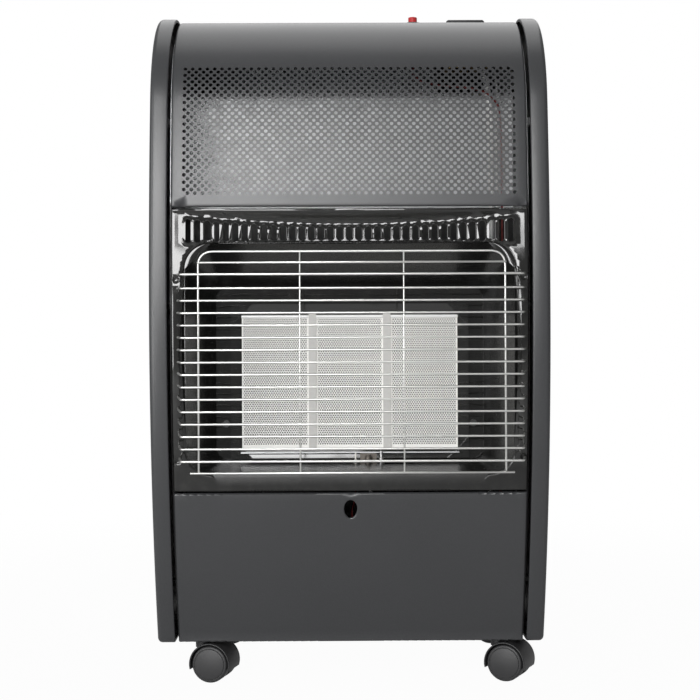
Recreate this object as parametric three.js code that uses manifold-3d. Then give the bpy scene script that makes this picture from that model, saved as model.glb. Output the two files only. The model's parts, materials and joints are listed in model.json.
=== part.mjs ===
// Portable gas cabinet heater: three ceramic burners behind a wire guard, in a steel cabinet on four
// twin-wheel casters, with room for a gas bottle behind a tilting rear cover.
// Millimetres. +Z is up, the burners face -Y, and +X is on the right seen from the front.
// The origin is the middle of the footprint, on the floor.
import * as THREE from "three";
import { mergeVertices } from "three/addons/utils/BufferGeometryUtils.js";
import Module from "manifold-3d";

// ---- Driving dimensions -------------------------------------------------------------------------

// Cabinet
const WIDTH = 420; // across the two side panels
const HEIGHT = 736; // floor to the top of the side panels
const SIDE_DEPTH = 360; // foremost point of a side panel to its back
const FLOOR_GAP = 45; // floor to the underside of the cabinet
const SHEET = 1; // steel sheet
const GAP = 0.3; // between pieces that touch
const CHORD = 0.5; // room for the flat facets of a curved panel
const BULGE_HEIGHT = 409; // height of the foremost point of the curved front
const LOWER_RADIUS = 1000; // curve of the front below that point
const UPPER_RADIUS = 1545; // curve of the front above it
const SHOULDER_RADIUS = 125; // bend from the front into the top
const REAR_RADIUS = 25; // bend from the top into the back
const FOOT_RADIUS = 8; // lower corners of a side panel, seen from the side
const EDGE_RADIUS = 5; // rounded rim of a side panel
const SIDE_BAND = 19; // width of a side panel seen from the front
const SEAM = 3.5; // dark joint beside a side panel
const PROUD = 4; // side panels stand this far outside the front panels
const FLANGE = 12; // side flanges of the front panels
const PANEL_BEND = 2.5; // bend from a front panel into its flange
const PANEL_JOINT = 2; // joint between two front panels
const LOWER_JOINT_Z = 213; // top of the lower front panel
const UPPER_JOINT_Z = 511; // top of the burner surround
const BACK_DROP = 75; // how far the top panel comes down at the back

// Burner surround
const WINDOW_MARGIN = 14.5; // sheet left beside the window
const WINDOW_BOTTOM = 231;
const WINDOW_TOP = 475;
const WINDOW_CORNER = 27;
const PRESS_DEPTH = 10; // the slotted band is pressed in this far at its middle
const PRESS_LEDGE = 12; // height of the sloping ledge above the band, at its middle
const PRESS_FADE = 45; // the pressing runs out this far below the window's top
const SLOT_MARGIN = 17; // sheet left beside the end slots
const SLOT_PITCH = 9.95;
const SLOT_WIDTH = 5.6;
const SLOT_TOP = 492; // at the middle of the band
const SLOT_BOTTOM = 479.5;
const SLOT_SPREAD = 5; // the end slots reach this much further up and down

// Burners
const PLAQUE_SETBACK = 84; // front panels' foremost point to the face of the plaques
const PLAQUE_WIDTH = 76;
const PLAQUE_HEIGHT = 149;
const PLAQUE_DEPTH = 13;
const PLAQUE_BOTTOM = 254.5;
const PLAQUE_SPACE = 5.9; // between two plaques
const STRIP_OVERLAP = 1.2; // how far a strip covers each plaque
const STRIP_DEPTH = 1.5;
const HOUSING_MARGIN = 5; // housing beyond the plaques
const HOUSING_DEPTH = 25; // housing behind the plaques' face
const SEAT_STEP = 4; // ledge inside the housing that a plaque rests on
const FUNNEL_TAPER = 26; // the reflector's back wall is this much narrower than the window, each side
const BACK_WALL_BOTTOM = 243;
const BACK_WALL_TOP = 432;
const VENTURI_RADIUS = 9;
const VENTURI_LENGTH = 30;
const MANIFOLD_RADIUS = 7;
const INJECTOR_RADIUS = 2.5;

// Wire guard
const WIRE_RADIUS = 1.2;
const GUARD_STANDOFF = 12; // foremost point of the surround to the middle of the wires
const GUARD_TOP = 465;
const GUARD_TOP_GAPS = [11.5, 12.2, 14.5]; // between the first four wires
const GUARD_PITCH = 12.84;
const GUARD_EVEN_GAPS = 14;
const GUARD_LAST_GAP = 12.1;
const GUARD_OVERLAP = 5; // a hooked wire reaches this far past the window
const INNER_POST_X = 54; // inner upright wires, each side of the middle
const OUTER_POST_INSET = 13.5; // outer upright wires, inside the window
const GUARD_CORNER = 16;
const BOTTOM_WIRE_INSET = 5; // the bottom wire ends this far inside the window
const HOOK_SPREAD = 4; // a hook leans outwards this far
const GUARD_SHIFT = 2; // the guard hangs a little to the right

// Lower front panel
const SIGHT_HOLE_Z = 193.5;
const SIGHT_HOLE_WIDTH = 13.8;
const SIGHT_HOLE_HEIGHT = 19.6;

// Base, shield and rear cover
const PAN_RISE = 5; // underside of the base pan above the underside of the cabinet
const PAN_WALL = 20;
const STANDOFF_END = 60; // outermost stand-offs to the top and bottom of a side panel
const FRAME_INSET = 9; // the side frames stay this far inside the front panels' face
const FRAME_SHEET = 1.2;
const STANDOFF_RADIUS = 5;
const STANDOFF_INSET = 60; // from the edge of a side panel
const SHIELD_SETBACK = 118; // foremost point of a front panel to the heat shield
const SHIELD_DROP = 86; // top of the cabinet to where the shield leans back
const SHIELD_RISE = 43; // height of its leaning part
const SHIELD_RUN = 44; // depth of its leaning part
const SHIELD_NOTCH_STEP = 6; // the notches in it begin this far above its bend
const SHIELD_NOTCH_DEPTH = 60;
const PIPE_NOTCH = [10, 87.5]; // from the right edge of the front panels
const LEFT_NOTCH = [8, 40]; // from the left edge
const COVER_DEPTH = 37;
const COVER_LIFT = 9; // cover above the underside of the cabinet
const COVER_EAR = 5; // ears behind and in front of the tilt pins
const TILT_PIN_RADIUS = 2.5;
const PIN_CLEARANCE = 0.5;
const TILT_PIN_Z = 62;
const VENT_COUNT = 9;
const VENT_PITCH = 14;
const VENT_WIDTH = 90;
const VENT_HEIGHT = 5;
const VENT_DROP = 60; // top of the cover to the first vent
const VENT_X = 30; // middle of the cover to the inner end of a vent

// Controls, in the top
const KNOB_X = 136;
const KNOB_SETBACK = 36; // behind the end of the shoulder bend
const KNOB_RADIUS = 25;
const KNOB_HEIGHT = 18;
const PUSH_TRAVEL = 6; // of the knob and of the igniter button
const WELL_WIDTH = 86;
const WELL_LENGTH = 74;
const WELL_DEPTH = 12;
const WELL_RIM = 4;
const SPINDLE_RADIUS = 4;
const SPINDLE_BORE = 24; // depth of the valve's bore
const VALVE_WIDTH = 52;
const VALVE_LENGTH = 34;
const VALVE_HEIGHT = 32;
const IGNITER_X = 74;
const IGNITER_SETBACK = 11;
const BUTTON_RADIUS = 5;
const BUTTON_REACH = 11; // above the top panel
const BUTTON_LENGTH = 24;
const IGNITER_RADIUS = 8;
const IGNITER_LENGTH = 42;

// Pilot assembly, in a slot of the reflector's floor
const PILOT_X = 20;
const PILOT_GAP = 11; // plaque face to the pilot's axis
const PILOT_RADIUS = 4;
const PILOT_TOP = 248;
const PILOT_SPACING = 14; // pilot to thermocouple, and pilot to electrode
const PILOT_LENGTH = 24.5;
const PILOT_SLOT_TOP = 277.5; // the reflector is open for the pilot up to here
const SCREW_Z = 282; // reflector screws

// Leads and pipes, held all the way
const PIPE_RADIUS = 4;
const PILOT_PIPE_RADIUS = 2;
const LEAD_RADIUS = 1.5;
const SIDE_RUN_INSET = 30; // front panels' edge to the gas pipe that goes down beside the reflector
const SIDE_RUN_GAP = 12; // heat shield to the pipes
const PILOT_PIPE_SPACE = 8; // gas pipe to pilot pipe
const LEAD_SPACE = 13; // gas pipe to lead
const PILOT_PIPE_SAG = 27.5; // lowest point below the pilot
const LEAD_SAG = 51.5;
const LEAD_DROP = 80; // top of the cabinet to the lead's run across, just above the heat shield's bend

// Casters
const WHEEL_RADIUS = 20;
const WHEEL_WIDTH = 14.4;
const WHEEL_SEGMENTS = 18;
const WEB_WIDTH = 10; // between the two wheels
const HOOD_RADIUS = 23;
const HOOD_WALL = 1.6;
const AXLE_RADIUS = 3;
const RUNNING = 0.35; // clearance of turning pieces
const CASTER_TRAIL = 13; // stem to axle
const CASTER_SIDE_INSET = 24.5; // front panels' edge to the stems
const CASTER_FRONT_INSET = 23; // front of the base pan to the front stems
const CASTER_REAR_INSET = 50; // back of the side panels to the rear stems
const STEM_RADIUS = 3;
const COLLAR_RADIUS = 8.5;
const COLLAR_HEIGHT = 1.5;
const CASTER_TURNS = { front_left: -13, front_right: -24, rear_left: 16, rear_right: -8 }; // degrees at rest

// ---- Derived places -----------------------------------------------------------------------------

const RIGHT_ANGLE = Math.PI / 2;
const pivotBehindSide = COVER_DEPTH + GAP - PROUD + TILT_PIN_RADIUS + PIN_CLEARANCE;
const overallDepth = GUARD_STANDOFF + WIRE_RADIUS - PROUD + SIDE_DEPTH + pivotBehindSide + COVER_EAR;
const frontY = -overallDepth / 2 + GUARD_STANDOFF + WIRE_RADIUS - PROUD; // foremost point of the side panels
const skinY = frontY + PROUD; // foremost point of the front panels
const rearY = frontY + SIDE_DEPTH;
const guardY = skinY - GUARD_STANDOFF;
const coverFrontY = rearY - PROUD + GAP;
const coverBackY = coverFrontY + COVER_DEPTH;
const pivotY = rearY + pivotBehindSide;
const topZ = HEIGHT - PROUD; // outer face of the top panel
const panZ = FLOOR_GAP + PAN_RISE;
const bandX = WIDTH / 2 - SIDE_BAND; // inner edge of a side panel's band
const panelX = bandX - SEAM; // edge of the front panels
const windowX = panelX - WINDOW_MARGIN;
const slotCount = 1 + 2 * Math.floor((panelX - SLOT_MARGIN) / SLOT_PITCH);
const plaqueY = skinY + PLAQUE_SETBACK;
const backWallX = windowX - FUNNEL_TAPER;
const pilotY = plaqueY - PILOT_GAP;
const pilotLow = PILOT_TOP - PILOT_LENGTH;
const plaqueTop = PLAQUE_BOTTOM + PLAQUE_HEIGHT;
const plaquePitch = PLAQUE_WIDTH + PLAQUE_SPACE;
const housingX = plaquePitch + PLAQUE_WIDTH / 2 + HOUSING_MARGIN;
const housingBackY = plaqueY + HOUSING_DEPTH;
const shieldY = skinY + SHIELD_SETBACK;
const backDropZ = topZ - BACK_DROP;
const shieldBendZ = topZ - SHIELD_DROP;
const wellFloorZ = topZ - WELL_DEPTH;

// Centres of the arcs that make the side outline. A point on an arc faces an angle above straight ahead.
const lowerArc = { y: frontY + LOWER_RADIUS, z: BULGE_HEIGHT, radius: LOWER_RADIUS };
const upperArc = { y: frontY + UPPER_RADIUS, z: BULGE_HEIGHT, radius: UPPER_RADIUS };
const shoulderAngle = Math.asin((HEIGHT - SHOULDER_RADIUS - BULGE_HEIGHT) / (UPPER_RADIUS - SHOULDER_RADIUS));
const shoulderArc = arcInside(upperArc, shoulderAngle, SHOULDER_RADIUS);
const footAngle = Math.asin((BULGE_HEIGHT - FLOOR_GAP - FOOT_RADIUS) / (LOWER_RADIUS - FOOT_RADIUS));
const frontFootArc = arcInside(lowerArc, -footAngle, FOOT_RADIUS);
const rearTopArc = { y: rearY - REAR_RADIUS, z: HEIGHT - REAR_RADIUS, radius: REAR_RADIUS };
const rearFootArc = { y: rearY - FOOT_RADIUS, z: FLOOR_GAP + FOOT_RADIUS, radius: FOOT_RADIUS };
const knobY = shoulderArc.y + KNOB_SETBACK;
const igniterY = shoulderArc.y + IGNITER_SETBACK;

// A smaller arc that touches `outer` from inside where it faces `angle`.
function arcInside(outer, angle, radius) {
  const reach = outer.radius - radius;
  return { y: outer.y - reach * Math.cos(angle), z: outer.z + reach * Math.sin(angle), radius };
}

// ---- Solid helpers ------------------------------------------------------------------------------

const wasm = await Module();
wasm.setup();

function solid(geometry) {
  const bare = new THREE.BufferGeometry().setAttribute("position", geometry.getAttribute("position").clone());
  bare.setIndex(geometry.index);
  const merged = mergeVertices(bare, 1e-4);
  const vertProperties = Float32Array.from(merged.attributes.position.array);
  const triVerts = Uint32Array.from(merged.index.array);
  return new wasm.Manifold(new wasm.Mesh({ numProp: 3, vertProperties, triVerts }));
}

function shown(manifold) {
  const mesh = manifold.getMesh();
  const geometry = new THREE.BufferGeometry();
  geometry.setAttribute("position", new THREE.BufferAttribute(mesh.vertProperties, 3));
  geometry.setIndex(new THREE.BufferAttribute(mesh.triVerts, 1));
  return geometry;
}

const join = (...geometries) => shown(geometries.map(solid).reduce((whole, next) => whole.add(next)));
const cut = (base, ...tools) => {
  const left = tools.map(solid).reduce((rest, tool) => rest.subtract(tool), solid(base));
  return shown(left);
};

// A closed body from outward faces: its faces are turned round if they point in.
function closedBody(positions, index) {
  let volume = 0;
  const corner = (i) => new THREE.Vector3(...positions[i]);
  for (let i = 0; i < index.length; i += 3)
    volume += corner(index[i]).dot(corner(index[i + 1]).cross(corner(index[i + 2])));
  if (volume < 0) index.reverse();
  const geometry = new THREE.BufferGeometry();
  geometry.setAttribute("position", new THREE.Float32BufferAttribute(positions.flat(), 3));
  geometry.setIndex(index);
  return geometry;
}

// Closed loops of equal length joined by walls; `flat` drops the coordinate along which the ends are capped.
function loft(loops, flat) {
  const count = loops[0].length;
  const index = [];
  for (let level = 0; level + 1 < loops.length; level++)
    for (let i = 0; i < count; i++) {
      const a = level * count + i;
      const b = level * count + ((i + 1) % count);
      index.push(a, b, b + count, a, b + count, a + count);
    }
  const cap = (level, sign) => {
    const contour = loops[level].map((p) => new THREE.Vector2(...flat(p)));
    const turn = Math.sign(THREE.ShapeUtils.area(contour)) * sign;
    for (const face of THREE.ShapeUtils.triangulateShape(contour, [])) {
      const turned = Math.sign(THREE.ShapeUtils.area(face.map((i) => contour[i]))) === turn;
      index.push(...(turned ? face : [...face].reverse()).map((i) => i + level * count));
    }
  };
  cap(0, -1);
  cap(loops.length - 1, 1);
  return closedBody(loops.flat(), index);
}

// A sheet between two grids of points with the same rows and columns.
function sheetBody(outer, inner) {
  const rows = outer.length;
  const columns = outer[0].length;
  const inside = rows * columns;
  const index = [];
  const quad = (a, b, c, d) => index.push(a, b, c, a, c, d);
  const at = (row, column) => row * columns + column;
  for (let row = 0; row + 1 < rows; row++)
    for (let column = 0; column + 1 < columns; column++) {
      const corners = [at(row, column), at(row, column + 1), at(row + 1, column + 1), at(row + 1, column)];
      quad(...corners);
      quad(...corners.map((i) => i + inside).reverse());
    }
  const rim = (a, b) => quad(b, a, a + inside, b + inside);
  for (let column = 0; column + 1 < columns; column++) {
    rim(at(0, column), at(0, column + 1));
    rim(at(rows - 1, column + 1), at(rows - 1, column));
  }
  for (let row = 0; row + 1 < rows; row++) {
    rim(at(row + 1, 0), at(row, 0));
    rim(at(row, columns - 1), at(row + 1, columns - 1));
  }
  return closedBody([...outer.flat(), ...inner.flat()], index);
}

function box(x0, x1, y0, y1, z0, z1) {
  const block = new THREE.BoxGeometry(x1 - x0, y1 - y0, z1 - z0);
  return block.translate((x0 + x1) / 2, (y0 + y1) / 2, (z0 + z1) / 2);
}

// A round bar between two points.
function rod(from, to, radius, sides = 8) {
  const start = new THREE.Vector3(...from);
  const along = new THREE.Vector3(...to).sub(start);
  const upward = new THREE.Vector3(0, 1, 0);
  const turn = new THREE.Quaternion().setFromUnitVectors(upward, along.clone().normalize());
  return new THREE.CylinderGeometry(radius, radius, along.length(), sides)
    .applyQuaternion(turn)
    .translate(...start.addScaledVector(along, 0.5).toArray());
}

// A profile of [radius, height] points turned about an upright axis.
function turned(profile, x, y, segments = 16) {
  const points = profile.map(([radius, height]) => new THREE.Vector2(radius, height));
  return new THREE.LatheGeometry(points, segments).rotateX(RIGHT_ANGLE).translate(x, y, 0);
}

// A tube along a smooth route.
function tube(route, radius, sides, steps) {
  const path = new THREE.CatmullRomCurve3(route.map((p) => new THREE.Vector3(...p)), false, "centripetal");
  const section = new THREE.Shape();
  for (let i = 0; i < sides; i++) {
    const angle = (2 * Math.PI * i) / sides;
    section[i ? "lineTo" : "moveTo"](radius * Math.cos(angle), radius * Math.sin(angle));
  }
  return new THREE.ExtrudeGeometry(section, { extrudePath: path, steps, bevelEnabled: false });
}

// A flat outline of [x, z] points, carried from y0 to y1.
function carried(outline, y0, y1) {
  const shape = new THREE.Shape(outline.map(([x, z]) => new THREE.Vector2(x, z)));
  return new THREE.ExtrudeGeometry(shape, { depth: y1 - y0, bevelEnabled: false })
    .rotateX(RIGHT_ANGLE)
    .translate(0, y1, 0);
}

// The [x, z] points of a rectangle with round corners.
function roundedRectangle(x0, x1, z0, z1, radius, steps = 5) {
  const points = [];
  const [left, right, low, high] = [x0 + radius, x1 - radius, z0 + radius, z1 - radius];
  const centres = [[right, high], [left, high], [left, low], [right, low]];
  centres.forEach(([x, z], quarter) => {
    for (let i = 0; i <= steps; i++) {
      const angle = (quarter + i / steps) * RIGHT_ANGLE;
      points.push([x + radius * Math.cos(angle), z + radius * Math.sin(angle)]);
    }
  });
  return points;
}

// ---- The curved outline -------------------------------------------------------------------------

// Stations along an arc, moved in by `inset`: each has its place and the angle that it faces.
function along(arc, from, to, steps, inset) {
  return Array.from({ length: steps + 1 }, (_, i) => {
    const angle = from + ((to - from) * i) / steps;
    const radius = arc.radius - inset;
    return { y: arc.y - radius * Math.cos(angle), z: arc.z + radius * Math.sin(angle), angle };
  });
}

// The whole side outline, from the front foot up, over and down to the rear foot.
function sideOutline(inset) {
  return [
    ...along(frontFootArc, -RIGHT_ANGLE, -footAngle, 3, inset),
    ...along(lowerArc, -footAngle, 0, 7, inset).slice(1),
    ...along(upperArc, 0, shoulderAngle, 3, inset).slice(1),
    ...along(shoulderArc, shoulderAngle, RIGHT_ANGLE, 8, inset).slice(1),
    ...along(rearTopArc, RIGHT_ANGLE, 2 * RIGHT_ANGLE, 4, inset),
    ...along(rearFootArc, 2 * RIGHT_ANGLE, 3 * RIGHT_ANGLE, 3, inset),
  ];
}

// The station of the front at a height.
function stationAt(z, inset) {
  const arc = z < BULGE_HEIGHT ? lowerArc : upperArc;
  const angle = Math.asin((z - arc.z) / (arc.radius - inset));
  if (angle <= shoulderAngle) return along(arc, angle, angle, 1, inset)[0];
  const higher = Math.asin((z - shoulderArc.z) / (shoulderArc.radius - inset));
  return along(shoulderArc, higher, higher, 1, inset)[0];
}

const stationsAt = (heights, inset) => heights.map((z) => stationAt(z, inset));
const evenly = (from, to, steps) =>
  Array.from({ length: steps + 1 }, (_, i) => from + ((to - from) * i) / steps);

// A panel bent along stations, with side flanges; `press` gives how far it is pressed in at a place.
function bentPanel(stations, columns = [], press = () => 0) {
  const bend = PANEL_BEND;
  const half = (depth) => [
    [-panelX + depth, FLANGE],
    [-panelX + depth, bend],
    [-panelX + depth + (bend - depth) * 0.3, depth + (bend - depth) * 0.3],
    [-panelX + bend, depth],
  ];
  const section = (depth) => [
    ...half(depth),
    ...columns.map((x) => [x, depth]),
    ...half(depth).map(([x, d]) => [-x, d]).reverse(),
  ];
  const face = (depth) =>
    stations.map(({ y, z, angle }) =>
      section(depth).map(([x, d]) => {
        const inward = d + press(x, z);
        return [x, y + inward * Math.cos(angle), z - inward * Math.sin(angle)];
      }),
    );
  return sheetBody(face(0), face(SHEET));
}

// ---- Group --------------------------------------------------------------------------------------

const heater = new THREE.Group();
const finish = (color, roughness, metalness = 0) =>
  new THREE.MeshStandardMaterial({ color, roughness, metalness });
const finishes = {
  powderCoat: () => finish(0x3a3b3d, 0.6),
  enamel: () => finish(0x161616, 0.15),
  ceramic: () => finish(0xd9d5ca, 0.9),
  strip: () => finish(0xb8b5ae, 0.6),
  wire: () => finish(0xe6e6e2, 0.25, 0.9),
  galvanised: () => finish(0xa9acae, 0.45, 0.8),
  steel: () => finish(0xb5b5b5, 0.35, 0.9),
  brass: () => finish(0xb08d4a, 0.35, 0.9),
  aluminium: () => finish(0xc8cacc, 0.35, 0.9),
  blackPlastic: () => finish(0x1f1f20, 0.5),
  redPlastic: () => finish(0xb3262a, 0.35),
  redLead: () => finish(0x6d1f1f, 0.6),
  porcelain: () => finish(0xf0eee8, 0.35),
};

function add(name, geometry, finishName, parent = heater) {
  const mesh = new THREE.Mesh(geometry, finishes[finishName]());
  mesh.name = name;
  parent.add(mesh);
  return mesh;
}

// ---- Cabinet ------------------------------------------------------------------------------------

// A pressed tray: outer wall with a rounded rim, and a band turned in all along the outline.
function sidePanel(side) {
  const loop = (x, inset) => sideOutline(inset).map(({ y, z }) => [side * x, y, z]);
  const wall = WIDTH / 2;
  const rimSteps = [0, 1, 2, 3].map((i) => (i * RIGHT_ANGLE) / 3);
  const rim = (depth) =>
    rimSteps.map((a) => {
      const radius = EDGE_RADIUS - depth;
      return loop(wall - EDGE_RADIUS + radius * Math.cos(a), EDGE_RADIUS - radius * Math.sin(a));
    });
  const outside = [...rim(0), loop(bandX, 0)];
  const inside = [loop(bandX, SHEET), ...rim(SHEET).reverse()];
  return loft([...outside, ...inside], ([, y, z]) => [y, z]);
}

// The outline of a side frame: it follows the panels and ends level on the base pan.
function frameOutline(inset) {
  const bottom = panZ + SHEET + GAP;
  const reach = Math.min(inset, REAR_RADIUS - 1);
  return [
    ...stationsAt(evenly(bottom, BULGE_HEIGHT, 6), inset),
    ...along(upperArc, 0, shoulderAngle, 3, inset).slice(1),
    ...along(shoulderArc, shoulderAngle, RIGHT_ANGLE, 8, inset).slice(1),
    ...along(rearTopArc, RIGHT_ANGLE, 2 * RIGHT_ANGLE, 4, reach),
    { y: rearY - reach, z: bottom },
  ];
}

// A flat frame beside the compartments, with stand-offs to its side panel and a pin for the rear cover.
function sideFrame(side) {
  const inner = panelX + GAP;
  const outer = inner + FRAME_SHEET;
  const loop = (x) => frameOutline(PROUD + FRAME_INSET).map(({ y, z }) => [side * x, y, z]);
  const plate = loft([loop(outer), loop(inner)], ([, y, z]) => [y, z]);
  const low = panZ + SHEET + GAP;
  const earTop = TILT_PIN_Z + COVER_EAR * 2;
  const ear = box(...span(side, inner, outer), rearY - REAR_RADIUS, pivotY + COVER_EAR, low, earTop);
  const across = (from, to, y, z, radius) => rod([side * from, y, z], [side * to, y, z], radius);
  const pin = across(panelX - 6, inner + 0.5, pivotY, TILT_PIN_Z, TILT_PIN_RADIUS);
  const reach = WIDTH / 2 - SHEET - GAP;
  const standoffs = standoffPlaces().map(([y, z]) => across(outer - 0.5, reach, y, z, STANDOFF_RADIUS));
  return join(plate, ear, pin, ...standoffs);
}

const span = (side, near, far) => [Math.min(side * near, side * far), Math.max(side * near, side * far)];

function standoffPlaces() {
  const low = FLOOR_GAP + STANDOFF_END;
  const front = stationsAt([low, BULGE_HEIGHT, HEIGHT - SHOULDER_RADIUS], STANDOFF_INSET);
  const rear = [low, BULGE_HEIGHT, HEIGHT - STANDOFF_END].map((z) => ({ y: rearY - STANDOFF_INSET, z }));
  return [...front, ...rear].map(({ y, z }) => [y, z]);
}

// Front, shoulder, top and the upper part of the back in one bent sheet.
function topPanel() {
  const stations = [
    ...stationsAt(evenly(UPPER_JOINT_Z + PANEL_JOINT, shoulderArc.z + 1, 3), PROUD),
    ...along(shoulderArc, shoulderAngle, RIGHT_ANGLE, 9, PROUD).slice(1),
    ...along(rearTopArc, RIGHT_ANGLE, 2 * RIGHT_ANGLE, 5, PROUD),
    { y: rearY - PROUD, z: backDropZ, angle: 2 * RIGHT_ANGLE },
  ];
  const well = box(KNOB_X - WELL_WIDTH / 2 - GAP, KNOB_X + WELL_WIDTH / 2 + GAP,
    knobY - WELL_LENGTH / 2 - GAP, knobY + WELL_LENGTH / 2 + GAP, topZ - 5, topZ + 5);
  const neck = rod(
    [IGNITER_X, igniterY, topZ - 5], [IGNITER_X, igniterY, topZ + 5], IGNITER_RADIUS + GAP, 16,
  );
  return cut(bentPanel(stations), well, neck);
}

// How far the slotted band is pressed in: most at the middle, nothing at the sides.
function pressing(x, z) {
  const across = Math.max(0, 1 - (x / panelX) ** 2);
  const below = THREE.MathUtils.smoothstep(UPPER_JOINT_Z - z, 2, 2 + PRESS_LEDGE * Math.max(across, 0.15));
  const above = THREE.MathUtils.smoothstep(z, WINDOW_TOP - PRESS_FADE, WINDOW_TOP);
  return PRESS_DEPTH * across * below * above;
}

// The outer face of the surround at a place, for what meets it.
function surroundY(x, z) {
  const { y, angle } = stationAt(z, PROUD);
  return y + pressing(x, z) * Math.cos(angle);
}

function windowOutline(grow) {
  const half = windowX + grow;
  return roundedRectangle(-half, half, WINDOW_BOTTOM - grow, WINDOW_TOP + grow, WINDOW_CORNER + grow);
}

function surroundSlot(index) {
  const place = index - (slotCount - 1) / 2;
  const spread = SLOT_SPREAD * ((2 * place) / (slotCount - 1)) ** 2;
  const x = place * SLOT_PITCH;
  const [low, high] = [SLOT_BOTTOM - spread * 0.8, SLOT_TOP + spread * 1.6];
  const half = SLOT_WIDTH / 2;
  const outline = roundedRectangle(x - half, x + half, low, high, half - 0.4, 1);
  return carried(outline, skinY - 5, skinY + 30);
}

// Gloss sheet around the burners, with its pressed band, its slots and its window.
function burnerSurround() {
  const heights = [
    ...evenly(LOWER_JOINT_Z, WINDOW_TOP - PRESS_FADE, 4),
    ...evenly(WINDOW_TOP - PRESS_FADE, UPPER_JOINT_Z - 2 - PRESS_LEDGE, 4).slice(1),
    ...evenly(UPPER_JOINT_Z - 2 - PRESS_LEDGE, UPPER_JOINT_Z, 4).slice(1),
  ];
  const columns = evenly(-panelX + 12, panelX - 12, 10);
  const sheet = bentPanel(stationsAt(heights, PROUD), columns, pressing);
  const opening = carried(windowOutline(0), skinY - 10, skinY + 60);
  const slots = Array.from({ length: slotCount }, (_, index) => surroundSlot(index));
  return cut(sheet, opening, ...slots);
}

// Gloss funnel from the window back to the plaques, with an opening for them and a slot for the pilot.
function reflectorBox() {
  const ring = (depth) => {
    const front = windowOutline(-depth - GAP);
    const half = backWallX - depth;
    const [low, high] = [BACK_WALL_BOTTOM + depth, BACK_WALL_TOP - depth];
    const back = roundedRectangle(-half, half, low, high, WINDOW_CORNER / 2 - depth / 2);
    return {
      front: front.map(([x, z]) => [x, surroundY(x, z) + SHEET / 2, z]),
      back: back.map(([x, z]) => [x, plaqueY + GAP + (depth ? 0 : SHEET), z]),
    };
  };
  const outer = ring(0);
  const inner = ring(SHEET);
  const shell = loft([outer.back, outer.front, inner.front, inner.back], ([x, , z]) => [x, z]);
  const margin = HOUSING_MARGIN + GAP;
  const [low, high] = [PLAQUE_BOTTOM - margin, plaqueTop + margin];
  const burners = box(-housingX - GAP, housingX + GAP, plaqueY - 3, plaqueY + 9, low, high);
  const reach = PILOT_SPACING + PILOT_RADIUS + 3;
  const depth = PILOT_RADIUS * 2;
  const pilot = box(
    PILOT_X - reach, PILOT_X + reach, pilotY - depth, pilotY + depth, WINDOW_BOTTOM - 5, PILOT_SLOT_TOP,
  );
  return cut(shell, burners, pilot);
}

function lowerFrontPanel() {
  const heights = evenly(FLOOR_GAP, LOWER_JOINT_Z - PANEL_JOINT, 7);
  const egg = evenly(0, 15, 15).map((i) => {
    const angle = (i * Math.PI) / 8;
    const width = (SIGHT_HOLE_WIDTH / 2) * (1 + 0.12 * Math.sin(angle));
    return [width * Math.cos(angle), SIGHT_HOLE_Z + (SIGHT_HOLE_HEIGHT / 2) * Math.sin(angle)];
  });
  return cut(bentPanel(stationsAt(heights, PROUD)), carried(egg, skinY - 20, skinY + 60));
}

// Front of the base pan, just behind the lower front panel.
function panFront() {
  return stationAt(panZ, PROUD + SHEET + GAP * 2).y + CHORD;
}

// Tray that carries the bottle, with holes for the four caster stems.
function basePan() {
  const front = panFront();
  const back = rearY - PROUD - SHEET - GAP;
  const half = panelX - SHEET - GAP;
  const tray = cut(
    box(-half, half, front, back, panZ, panZ + PAN_WALL),
    box(-half + SHEET, half - SHEET, front + SHEET, back - SHEET, panZ + SHEET, panZ + PAN_WALL + 1),
  );
  const stems = casterPlaces().map(({ x, y }) =>
    rod([x, y, panZ - 1], [x, y, panZ + 2], STEM_RADIUS + 1.5 + GAP, 12));
  return cut(tray, ...stems);
}

// Galvanised partition between the burners and the bottle: an upright sheet under a leaning one.
function shieldSheet(line) {
  const half = panelX - 2 * (SHEET + GAP);
  const sunk = (y, depth) => (y > shieldY ? depth : 0);
  const face = (depth) =>
    line.map(([y, z]) => [-half, half].map((x) => [x, y + depth, z - sunk(y, depth)]));
  return sheetBody(face(0), face(SHEET));
}

function heatShield() {
  return shieldSheet([[shieldY, panZ + SHEET + GAP], [shieldY, shieldBendZ]]);
}

// The leaning sheet, notched for the pipes at the right and at its left edge.
function heatShieldTop() {
  const start = shieldBendZ + GAP;
  const notch = (side, [near, far]) =>
    box(...span(side, panelX - near, panelX - far), shieldY - 5, shieldY + SHIELD_NOTCH_DEPTH,
      start + SHIELD_NOTCH_STEP, HEIGHT);
  const sheet = shieldSheet([[shieldY, start], [shieldY + SHIELD_RUN, shieldBendZ + SHIELD_RISE]]);
  return cut(sheet, notch(1, PIPE_NOTCH), notch(-1, LEFT_NOTCH));
}

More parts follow.
